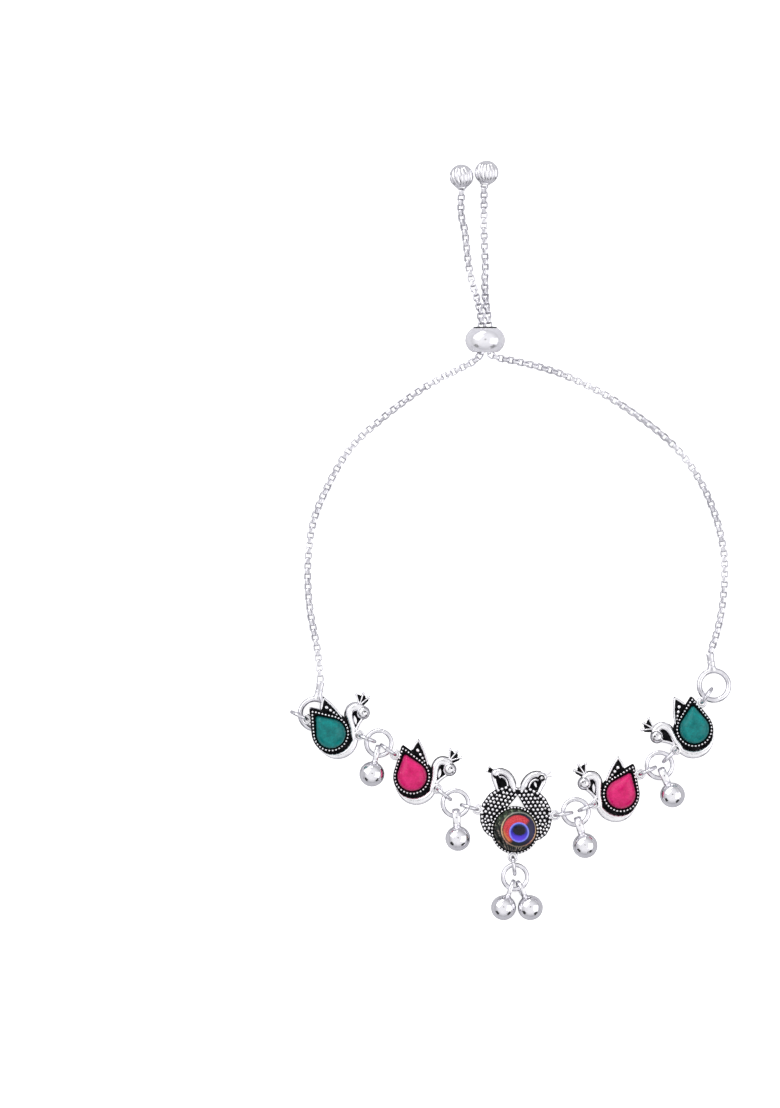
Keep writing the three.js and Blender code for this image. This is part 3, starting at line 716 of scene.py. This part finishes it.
def chain_line(route, cap):
    """Even steps of one link pitch along a route, with the direction at each."""
    rows = [plan(x, y, max([CHAIN_LOWEST, *z])) for x, y, *z in route] + [cap]
    fine = [Vector(point) for point in smooth_line(rows, 40)]
    lengths = running_lengths(fine)
    count = int((lengths[-1] - LINK["length"]) / LINK_PITCH) + 1
    slack = lengths[-1] - (count - 1) * LINK_PITCH - LINK["length"] / 2
    places = []
    for link in range(count):
        target = slack + link * LINK_PITCH
        at = int(np.searchsorted(lengths, target)) - 1
        at = min(max(at, 0), len(fine) - 2)
        share = (target - lengths[at]) / (lengths[at + 1] - lengths[at])
        along = (fine[at + 1] - fine[at]).normalized()
        places.append((fine[at].lerp(fine[at + 1], share), along))
    return places


def box_link():
    """A square link of flat strip: X is along the chain, Y across, and Z the strip's width."""
    half_long = LINK["length"] / 2 - LINK["thick"] / 2
    half_wide = LINK["width"] / 2 - LINK["thick"] / 2
    path = []
    for sign_x, sign_y, start in ((1, 1, 0), (-1, 1, 90), (-1, -1, 180), (1, -1, 270)):
        for step in range(4):
            angle = radians(start + 30 * step)
            path.append(Vector((sign_x * (half_long - LINK_CORNER) + LINK_CORNER * cos(angle),
                                sign_y * (half_wide - LINK_CORNER) + LINK_CORNER * sin(angle), 0)))
    thick, strip, edge = LINK["thick"] / 2, LINK["strip"] / 2, LINK["edge"]
    half = [(thick, -strip + edge), (thick, strip - edge), (thick - edge, strip), (-thick + edge, strip)]
    section = half + [(-across, -height) for across, height in half]
    form = Form()
    sweep(form, path, section, closed=True)
    return form


def make_chain(name, route, cap, phase):
    link = box_link()
    form = Form()
    places = chain_line(route, cap)
    for number, (point, along) in enumerate(places):
        side = UP.cross(along).normalized()
        share = number / (len(places) - 1)
        wave = CHAIN_TWIST * sin(TAU * CHAIN_TWIST_TURNS * share + phase)
        turn = Matrix.Rotation(wave + (pi / 2 if number % 2 else 0), 3, along)
        axes = Matrix((along, turn @ side, turn @ along.cross(side))).transposed()
        form.merge(link, Matrix.Translation(point) @ axes.to_4x4())
    piece(form, f"{name}_links", [CHAIN_SILVER], [name], sharp=50)


# Slider and end beads

def make_slider():
    radius, half, bore = SLIDER["radius"], SLIDER["half"], SLIDER["bore"]
    shoulder = SLIDER["shoulder"]
    right = [(bore, 0.0), (bore, half - 0.5), (bore + 0.06, half - 0.12), (bore + 0.2, half)]
    for step in range(13):
        angle = pi / 2 * step / 12
        reach = (radius - shoulder) * sin(angle) ** 1.5
        right.append((shoulder + reach, half * cos(angle)))
    right[-1] = (radius, 0.0)
    left = [(r, -s) for r, s in reversed(right[1:-1])]
    form = Form()
    lathe(form, right + left, CIRCLE_STEPS, ALONG_Y, closed=True)
    # A black ring at the upper mouth of the bore is painted shade: the shade in the bore's opening, shown
    # as a thin dark line
    bore_shade_ring = [(bore + 0.1, half - 0.3), (bore + 0.6, half - 0.3), (bore + 0.6, half + 0.24),
               (bore + 0.1, half + 0.24)]
    lathe(form, bore_shade_ring, 72, ALONG_Y, BLACK, closed=True)
    place = Matrix.Translation(plan(SLIDER["x"], SLIDER["y"], radius))
    piece(form, "slider_bead_round", [SLIDER_SILVER, OXIDE], ["slider_bead"], place)


def make_end_bead(name, route):
    """A melon bead with slanting flutes and a small collar where the chain goes in."""
    radius, flutes = END_BEAD["radius"], END_BEAD["flutes"]
    around, down = flutes * 10, 44
    rows = []
    for row in range(1, down):
        polar = pi * row / down
        ring = []
        for column in range(around):
            angle = TAU * column / around
            phase = flutes * (angle + END_BEAD["twist"] * (polar - pi / 2) / pi)
            groove = (1 - abs(cos(phase / 2))) ** 1.5 * END_BEAD["depth"]
            reach = radius * sin(polar) - groove * sin(polar) ** 1.5
            ring.append(Vector((reach * cos(angle), -radius * cos(polar),
                                -reach * sin(angle))))
        rows.append(ring)
    form = Form()
    loft(form, rows)
    collar = [(0.72, -radius - 0.02), (0.95, -radius - 0.02), (1.02, -radius + 0.12),
              (1.02, -radius + 0.4), (0.72, -radius + 0.4)]
    lathe(form, collar, 36, ALONG_Y, closed=True)
    start, second = plan(*route[0][:2]), plan(*route[1][:2])
    along = (start - second).normalized()
    middle = start + along * END_BEAD["inside"]
    middle.z = radius
    place = Matrix.Translation(middle) @ about_z(atan2(along.y, along.x) - pi / 2)
    piece(form, f"{name}_melon", [SILVER], [name], place)


# Rings

def node_middle(node):
    low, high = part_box(node)
    return (low + high) / 2 / MM


def upright_turn(node):
    """The direction in plan of an upright ring, from the frame's mesh."""
    points = np.array([vertex.co[:2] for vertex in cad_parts[node].data.vertices])
    spread = np.cov((points - points.mean(0)).T)
    _, directions = np.linalg.eigh(spread)
    return atan2(directions[1, 1], directions[0, 1])


def make_link_ring(number, name):
    radius, wire = LINK_RING["radius"], LINK_RING["wire"]
    form = split_ring(radius, wire, radians(60 + 37 * number % 60), 60, 16)
    middle = node_middle(name)
    middle.z = radius + wire + LINK_RING_LIFT
    place = Matrix.Translation(middle) @ about_z(upright_turn(name)) @ UPRIGHT
    piece(form, f"{name}_wire", [RING_SILVER], [name], place)


def make_flat_ring(number, name):
    low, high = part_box(name)
    radius = (high.x - low.x) / 2 / MM - FLAT_RING["wire"]
    form = split_ring(radius, FLAT_RING["wire"], radians(70 + 130 * number), 84, 20)
    middle = node_middle(name)
    middle.z = FLAT_RING["height"]
    piece(form, f"{name}_wire", [RING_SILVER], [name], Matrix.Translation(middle))


def make_end_ring(name, x, y, cap_angle, link):
    """A large ring that leans on its far side, with the end cap of the chain soldered to it."""
    radius, wire = LARGE_RING["radius"], LARGE_RING["wire"]
    centre = plan(x, y)
    toward = (node_middle(link).xy - centre.xy).normalized()
    rise = (LARGE_RING["high"] - LARGE_RING["low"]) / 2
    tilt = Matrix.Rotation(asin(rise / radius), 4, Vector((toward.y, -toward.x, 0)))
    form = Form()
    wire_ring(form, radius, wire, CIRCLE_STEPS, 22, move=tilt)
    angle = radians(cap_angle)
    cap_height = rise * toward.dot(spoke(angle))
    stand = (Matrix.Translation((0, 0, cap_height)) @ about_z(angle)
             @ Matrix.Scale(CAP_FLATTENING, 4, UP) @ ALONG_X)
    lathe(form, [(wide, radius + out) for wide, out in CAP_PROFILE], 32, stand)
    centre.z = LARGE_RING["low"] + rise
    piece(form, f"{name}_cast", [RING_SILVER], [name], Matrix.Translation(centre))
    return centre + spoke(angle, CAP_MOUTH).to_3d() + UP * cap_height


# Bells

def make_bell(number, name, x, y, ring, width, roll):
    """A round bell: two pressed halves that meet in a fine seam, and a bail of flat wire."""
    radius, wire = BELL["radius"], BELL["wire"]
    form = Form()
    profile = []
    for row in range(49):
        angle = pi * row / 48
        reach = radius - (BELL["seam"] if row == 24 else 0.0)
        profile.append((reach * sin(angle), -reach * cos(angle)))
    lathe(form, profile, 72, Matrix.Rotation(radians(52 + 23 * number), 4, "X"))
    centre = plan(x, y, radius)
    low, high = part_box(ring)
    toward = (low + high) / 2 / MM - centre
    slope = Matrix.Rotation(asin((radius - FLAT_RING["height"]) / BELL["reach"]), 4, "Y")
    path = [Vector((BELL["long"] * point.x, BELL["high"] * point.y, 0)) for point in circle(1, 56)]
    band = [(wire * 0.92 * copysign(abs(across) ** 0.75, across),
             width / 2 * copysign(abs(height) ** 0.85, height)) for across, height in circle(1, 20)]
    bail = Form()
    sweep(bail, path, band, closed=True)
    form.merge(bail, slope @ Matrix.Translation((BELL["reach"], 0, 0))
               @ Matrix.Rotation(pi / 2 + radians(roll), 4, "X"))
    foot = [(wide, radius + out) for wide, out in BELL_FOOT]
    lathe(form, foot, 28, slope @ ALONG_X)
    place = Matrix.Translation(centre) @ about_z(atan2(toward.y, toward.x))
    piece(form, f"{name}_ball", [BELL_SILVER], [name], place)


# Peacock links

def add_eyelet(form, x, y, z):
    wire_ring(form, EYELET["radius"], EYELET["wire"], 40, 12, move=Matrix.Translation((x, y, z)))


def peacock_form(back_eyelet, lit, lined):
    """A peacock in side view: pear bezel with a beaded border, breast, neck, head and crown."""
    form = Form()
    slab(form, pear(GROOVE, shift=GROOVE_SHIFT), 0.0, BASE_TOP)
    black_rim(form, pear(BORDER), pear(SEAT), 0.1, BEZEL_TOP)
    for place in along_outline(pear(BEAD_LINE, 0.2), BORDER_BEADS):
        ball(form, (*place, BEZEL_TOP + 0.08), BORDER_BEAD)
    # Breast: a polished crescent that is widest under the pear. Columns: x, y, half, height.
    rows = []
    for step in range(13):
        share = step / 12
        angle = radians(218 + 152 * share)
        outer = Vector((-0.3, -1.9)) + spoke(angle, 4.05)
        toward = outer - Vector(GROOVE_SHIFT)
        inner = Vector(GROOVE_SHIFT) + toward.normalized() * 4.02
        half = max((outer - inner).length / 2, 0.2) if toward.length > 4.1 else 0.2
        rows.append((*(outer + inner) / 2, half, 1.6 + 0.4 * min(half / 0.8, 1)))
    puffy_band(form, rows, 0.0, 2.0, arch=12)
    neck = [
        (-2.55, -4.05, 0.3), (-2.95, -3.5, 0.44), (-3.4, -2.85, 0.54), (-4.0, -2.0, 0.58),
        (-4.55, -0.75, 0.6), (-5.2, 0.45, 0.7), (-6.2, 1.05, 0.78), (-7.2, 0.75, 0.84),
        (-7.85, 0.0, 0.8), (-8.0, -0.6, 0.6),
    ]
    puffy_band(form, neck, 0.0, 2.05, arch=12)
    if lined:
        black_line(form, [(x, y, half + 0.14) for x, y, half in neck[3:-1]], 1.0)
    corner = [(-5.7, 1.45, 0.06), (-5.15, 1.1, 0.26), (-4.6, 0.5, 0.34), (-4.1, -0.4, 0.3)]
    black_line(form, corner, 1.15)
    crease = [(-3.98, -2.4, 0.07), (-3.86, -2.95, 0.15), (-3.6, -3.5, 0.15), (-3.25, -4.05, 0.07)]
    black_line(form, crease, 1.95)
    chin = [(-7.5, -1.7, 0.45), (-6.6, -1.95, 0.34), (-5.6, -2.25, 0.3), (-4.7, -2.6, 0.34),
            (-3.9, -3.1, 0.4)]
    puffy_band(form, chin, 0.0, 1.75, arch=10)
    hollow = [(-7.3, -1.2), (-6.2, -2.0), (-4.3, -2.5), (-4.7, -0.4), (-5.6, 0.5), (-6.9, 0.7)]
    slab(form, hollow, 0.0, 1.0)
    if lit:
        leaf = [(-5.85, -0.35, 0.06), (-5.6, -0.9, 0.3), (-5.3, -1.45, 0.28), (-4.95, -2.0, 0.06)]
        puffy_band(form, leaf, 0.9, 1.45, steps=5)
    head = Vector((-7.6, -1.05, 1.4))
    ball(form, head, HEAD_RADIUS, 32, 20)
    # A fine dark line winds outwards over the head from the eye
    swirl = []
    for step in range(61):
        polar = radians(10 + step)
        around = TAU * SWIRL_TURNS * step / 60
        out = Vector((*spoke(around, sin(polar)), cos(polar)))
        swirl.append(head + HEAD_RADIUS * out)
    sweep(form, swirl, circle(0.055, 6), mark=BLACK)
    ball(form, (-7.95, -0.95, 2.58), 0.22, mark=BLACK)
    slab(form, [(-3.6, 6.74), (-4.02, 4.0), (-3.9, 1.0), (-3.2, 1.0), (-1.4, 4.9)], 0.0, BASE_TOP)
    # The fin's two polished edges. Columns: x, y and half the width.
    for rim in (
        [(-3.72, 1.2, 0.16), (-3.82, 2.6, 0.22), (-3.82, 4.2, 0.24), (-3.64, 5.6, 0.24),
         (-3.5, 6.45, 0.22)],
        [(-3.48, 6.42, 0.22), (-2.9, 6.05, 0.24), (-2.2, 5.55, 0.24), (-1.7, 5.1, 0.2)],
    ):
        puffy_band(form, rim, 0.9, 1.95)
    # Columns: x, y and radius of the grains in the fin
    for *spot, radius in ((-2.7, 4.56, 0.42), (-2.94, 3.6, 0.36), (-3.14, 2.78, 0.3), (-3.3, 2.08, 0.24)):
        ball(form, (*spot, BASE_TOP + 0.12), radius, 16, 10)
    # Columns: x and y of the ball ends of the crown
    for x, y in ((-10.45, 0.5), (-10.1, 1.85), (-8.9, 2.65)):
        path = smooth_line([(-8.0, 0.55, 1.15), ((x - 8.0) / 2, (y + 0.6) / 2, 1.36), (x, y, 1.3)], 6)
        sweep(form, [Vector(point) for point in path], circle(0.16, 10))
        ball(form, (x, y, 1.2), 0.34, 18, 12)
    web = [(-7.9, 0.2), (-8.4, 1.4), (-8.75, 2.45), (-9.3, 2.2), (-9.4, 1.7), (-9.95, 1.7),
           (-10.0, 1.1), (-9.75, 0.85), (-10.2, 0.4), (-9.9, 0.1), (-8.6, 0.0)]
    slab(form, web[::-1], 0.6, 1.3)
    add_eyelet(form, -4.0, -3.95, EYELET_HEIGHT)
    add_eyelet(form, 1.82, 5.16, back_eyelet)
    return form


def stone_form():
    """A high pear cabochon with a softened tip."""
    form = Form()
    outline = pear(STONE, 0.5)
    middle = Vector((0, 0.35))
    loft(form, [level([middle + (point - middle) * share for point in outline], height)
                for share, height in STONE_ROWS])
    return form


def make_peacock(name, x, y, turn, side, lean, stone, back_eyelet, lit):
    place = (Matrix.Translation(plan(x, y)) @ about_z(radians(turn))
             @ Matrix.Translation((0, PEACOCK_REST, 0)) @ Matrix.Rotation(radians(lean), 4, "X")
             @ Matrix.Translation((0, -PEACOCK_REST, 0)))
    bird, gem = peacock_form(back_eyelet, lit, stone == "pink"), stone_form()
    if side < 0:
        bird, gem = bird.mirrored(), gem.mirrored()
    piece(bird, f"peacock_{name}_cast", [CAST_SILVER, OXIDE], [f"peacock_{name}"], place)
    material, slot = (GREEN, "green_stone") if stone == "green" else (PINK, "pink_stone")
    piece(gem, f"stone_{name}_pear", [material], [f"stone_{name}"], place)


# Centre piece

def inside(point, outline, margin):
    """True where a point lies in an outline, at least a margin from its edge."""
    hit = False
    nearest = inf
    for a, b in zip(outline, outline[1:] + outline[:1]):
        if (a.y > point.y) != (b.y > point.y):
            if point.x < a.x + (b.x - a.x) * (point.y - a.y) / (b.y - a.y):
                hit = not hit
        share = max(0.0, min(1.0, (point - a).dot(b - a) / (b - a).length_squared))
        nearest = min(nearest, (point - (a + (b - a) * share)).length)
    return hit and nearest > margin


def edge_row(wing):
    """Places of grains along the outer edge of a wing, from its foot to its top."""
    rim = inset(wing, 0.4)[5:]
    places = []
    left = 0.0
    for a, b in zip(rim, rim[1:]):
        length = (b - a).length
        while left < length:
            places.append(a.lerp(b, left / length))
            left += GRAIN["pitch"] * 0.94
        left -= length
    return places


def wing_grains(wing):
    """Places and radii of a wing's grains: along its edge, in slanting rows, and in what room is left."""
    clear = CENTRE_BEZEL + 0.3
    full, pitch = GRAIN["radius"], GRAIN["pitch"]
    grains = [(point, full) for point in edge_row(wing) if point.length > clear]

    def try_grain(point, radius, apart):
        free = all((point - other).length > apart for other, _ in grains)
        if free and inside(point, wing, radius * 0.8) and point.length > clear:
            grains.append((point, radius))

    turn = Matrix.Rotation(GRAIN["slant"], 2)
    for row in range(-1, 7):
        for step in range(-1, 15):
            spot = Vector(((step - (row % 2) / 2) * pitch, row * pitch * 0.88))
            try_grain(Vector((GRAIN["x"], GRAIN["y"])) + turn @ spot, full, pitch * 0.8)
    # Columns: least distance and radius
    for apart, radius in ((0.72, full), (0.6, GRAIN["small"])):
        for row in range(70):
            for step in range(60):
                try_grain(Vector((0.13 * step, 9.0 - 0.15 * row)), radius, apart)
    return grains


def half_centre_form(lit):
    """The bird on the +X side, with its granulated wing; lit puts bright metal in its neck's hollow."""
    form = Form()
    wing = [Vector(corner) for corner in WING]
    slab(form, wing, 0.0, 1.75, 0.1)
    for point, radius in wing_grains(wing):
        ball(form, (*point, 1.78), radius, 14, 9)
    neck = [
        (0.75, 8.1, 0.5, 1.9), (1.12, 8.95, 0.64), (1.4, 9.75, 0.62), (1.85, 10.5, 0.6),
        (2.55, 11.15, 0.58), (3.4, 11.45, 0.58), (4.2, 11.4, 0.66), (4.75, 11.05, 0.64),
    ]
    rows = [row if len(row) == 4 else (*row, 2.1) for row in neck]
    puffy_band(form, rows, 0.0, 2.1, arch=12)
    black_line(form, [(x, y, half + 0.12) for x, y, half in neck[1:-1]], 1.1)
    beak = [(4.9, 10.8, 0.7), (4.98, 10.0, 0.5), (4.7, 9.2, 0.42), (4.4, 8.5, 0.4), (4.2, 7.9, 0.36)]
    puffy_band(form, beak, 0.0, 1.85, arch=10)
    slab(form, [(1.5, 9.0), (2.2, 8.6), (4.2, 8.2), (4.7, 9.8), (3.6, 11.2), (2.4, 10.9)], 0.0, 1.0)
    lining = [(2.12, 8.7, 0.22), (2.28, 9.4, 0.23), (2.68, 10.05, 0.25), (3.3, 10.42, 0.25),
              (3.95, 10.3, 0.2)]
    puffy_band(form, lining, 0.0, 1.85)
    if lit:
        puffy_band(form, [(3.2, 9.9, 0.1), (3.35, 9.5, 0.28), (3.6, 8.9, 0.1)], 0.9, 1.4, steps=5)
    ball(form, (4.75, 11.0, 1.3), 0.95, 28, 18)
    if lit:
        wire_ring(form, 0.52, 0.15, 32, 10, BLACK, Matrix.Translation((4.5, 10.8, 2.2)))
        ball(form, (4.5, 10.8, 2.05), 0.34, 16, 10)
    else:
        gape = [(5.2, 10.65, 0.1), (4.8, 10.3, 0.24), (4.4, 10.25, 0.28), (4.05, 10.5, 0.12)]
        black_line(form, gape, 2.25, 1.0)
        slab(form, [(5.3, 10.9), (6.3, 11.15), (6.2, 11.7), (6.0, 12.15), (5.2, 11.8)], 0.9, 1.4)
    # Columns: x and y of the ball ends of the crown
    for x, y in ((6.15, 12.15), (6.4, 11.35)):
        path = [(5.0, 11.1, 1.4), ((5.0 + x) / 2, (11.15 + y) / 2, 1.45), (x, y, 1.4)]
        sweep(form, [Vector(point) for point in path], circle(0.24, 10), mark=POLISHED if lit else BLACK)
        ball(form, (x, y, 1.4), 0.28)
    return form


def make_centre():
    x, y, turn = CENTRE_PLACE
    place = Matrix.Translation(plan(x, y)) @ about_z(radians(turn))
    form = half_centre_form(True)
    form.merge(half_centre_form(False).mirrored())
    slab(form, circle(CENTRE_BEZEL - 0.1, CIRCLE_STEPS), 0.0, 1.4)
    black_rim(form, circle(CENTRE_BEZEL, CIRCLE_STEPS), circle(CENTRE_SEAT, CIRCLE_STEPS), 0.1, 1.95)
    for spot in along_outline(circle(CENTRE_BEAD_LINE, CIRCLE_STEPS), CENTRE_BEADS):
        ball(form, (*spot, 2.03), 0.24)
    for spot in ((-7.75, 3.6), (7.75, 3.6), (0, -5.4)):
        add_eyelet(form, *spot, EYELET_HEIGHT)
    piece(form, "centre_piece_cast", [CAST_SILVER, OXIDE], ["centre_piece"], place)
    radius, foot, spring, top = (CABOCHON[key] for key in ("radius", "foot", "spring", "top"))
    profile = [(0.01, foot), (radius * 0.98, foot), (radius, foot + 0.1), (radius, spring)]
    for step in range(1, 16):
        angle = pi / 2 * step / 16
        profile.append((radius * cos(angle), spring + (top - spring) * sin(angle)))
    dome = Form()
    lathe(dome, profile + [(0.01, top)], CIRCLE_STEPS)
    piece(dome, "cabochon_dome", [FEATHER], ["cabochon"], place)


# Light, floor and camera, in metres. Columns of LAMPS: name, place, size, power in watts.
# Columns of FLAGS: place, size, upright. Columns of SKY: height, colour.

LAMPS = [
    ("key", (-0.6, 0.5, 0.55), (0.9, 0.8), 2.2),
    ("fill", (0.7, -0.1, 0.5), (0.8, 0.8), 1.4),
    ("window", (-0.15, 0.75, 0.24), (0.3, 0.14), 1.0),
]
FLAGS = [
    ((-0.4, -0.38, 0.13), (0.26, 0.26), True),
    ((0.36, -0.44, 0.13), (0.28, 0.26), True),
    ((0.0, 0.1, 0.9), (0.17, 0.17), False),
]
SKY = [
    (0.0, (0.42, 0.42, 0.44)), (0.3, (0.6, 0.6, 0.62)), (0.6, (0.84, 0.84, 0.86)),
    (1.0, (0.96, 0.96, 0.97)),
]
FLOOR_WIDTH = 3.2
FLOOR_HEIGHT = -0.00002


def add_area(name, place, size, power):
    """A lamp that faces the middle of the part."""
    light = bpy.data.lights.new(name, "AREA")
    light.shape = "RECTANGLE"
    light.size, light.size_y = size
    light.energy = power
    thing = add_object(name, light)
    thing.location = place
    thing.rotation_euler = (-Vector(place)).to_track_quat("-Z", "Y").to_euler()


def flat_sheet(name, wide, long, height=0.0):
    x, y = wide / 2, long / 2
    mesh = bpy.data.meshes.new(name)
    mesh.from_pydata([(-x, -y, height), (x, -y, height), (x, y, height), (-x, y, height)], [],
                     [(0, 1, 2, 3)])
    material, tree, shader = new_material(name)
    mesh.materials.append(material)
    return add_object(name, mesh), tree, shader


def add_flag(place, size, upright):
    """A dark cloth that the polished balls reflect; the camera itself doesn't see it."""
    flag, _, shader = flat_sheet("flag", *size)
    shader.inputs["Base Color"].default_value = (0.01, 0.01, 0.01, 1)
    flag.location = place
    if upright:
        flag.rotation_euler = (pi / 2, 0, atan2(place[1], place[0]) + pi / 2)
    flag.visible_camera = False
    flag.visible_shadow = False


def add_plane(name, height):
    plane, tree, shader = flat_sheet(name, FLOOR_WIDTH, FLOOR_WIDTH, height)
    return plane, tree, shader


def make_stage():
    scene = bpy.context.scene
    floor, tree, shader = add_plane("pale_floor", FLOOR_HEIGHT)
    floor.visible_glossy = False
    paper = noise(tree, object_place(tree), 60.0, 3.0)
    tree.links.new(ramp(tree, paper, [(0.3, (0.93, 0.93, 0.93)), (0.7, (0.96, 0.96, 0.96))]),
                   shader.inputs["Base Color"])
    shader.inputs["Emission Color"].default_value = (1, 1, 1, 1)
    shader.inputs["Emission Strength"].default_value = 0.65
    shader.inputs["Roughness"].default_value = 0.9
    shader.inputs["Specular IOR Level"].default_value = 0.1
    # Silver mirrors this grey sheet in place of the floor, which keeps its edges off the white
    sheet, _, shader = add_plane("grey_sheet", 0.0)
    shader.inputs["Base Color"].default_value = (0.56, 0.56, 0.58, 1)
    shader.inputs["Specular IOR Level"].default_value = 0.0
    for ray in ("camera", "diffuse", "shadow", "transmission"):
        setattr(sheet, f"visible_{ray}", False)
    world = bpy.data.worlds.new("studio")
    scene.world = world
    world.use_nodes = True
    tree = world.node_tree
    background = tree.nodes["Background"]
    direction = tree.nodes.new("ShaderNodeTexCoord").outputs["Generated"]
    sky = ramp(tree, split_axes(tree, direction)["Z"], SKY)
    tree.links.new(sky, background.inputs["Color"])
    background.inputs["Strength"].default_value = 1.0
    for lamp in LAMPS:
        add_area(*lamp)
    for flag in FLAGS:
        add_flag(*flag)
    scene.view_settings.view_transform = "Standard"


def make_camera():
    camera_data = bpy.data.cameras.new("camera")
    camera_data.lens = LENS
    camera_data.sensor_width = SENSOR
    camera = add_object("camera", camera_data)
    height = PHOTO_HEIGHT_PX * PIXEL * LENS / SENSOR
    camera.location = plan(*PHOTO_CENTRE, height + CAMERA_RISE) * MM
    camera_data.clip_start = 0.05
    camera_data.clip_end = 20
    bpy.context.scene.camera = camera


make_camera()
make_stage()
caps = {}
for (ring_name, ring_x, ring_y, ring_cap), link_name in zip(LARGE_RINGS, ("link_ring_1", "link_ring_10")):
    caps[ring_name] = make_end_ring(ring_name, ring_x, ring_y, ring_cap, link_name)
make_chain("chain_left", LEFT_ROUTE, caps["end_ring_left"], 0.4)
make_chain("chain_right", RIGHT_ROUTE, caps["end_ring_right"], 2.1)
make_slider()
make_end_bead("end_bead_left", LEFT_ROUTE)
make_end_bead("end_bead_right", RIGHT_ROUTE)
for ring_number, ring_name in enumerate(LINK_RINGS):
    make_link_ring(ring_number, ring_name)
for ring_number, ring_name in enumerate(FLAT_RINGS):
    make_flat_ring(ring_number, ring_name)
for bell_number, bell in enumerate(BELLS):
    make_bell(bell_number, *bell)
for peacock in PEACOCKS:
    make_peacock(*peacock)
make_centre()
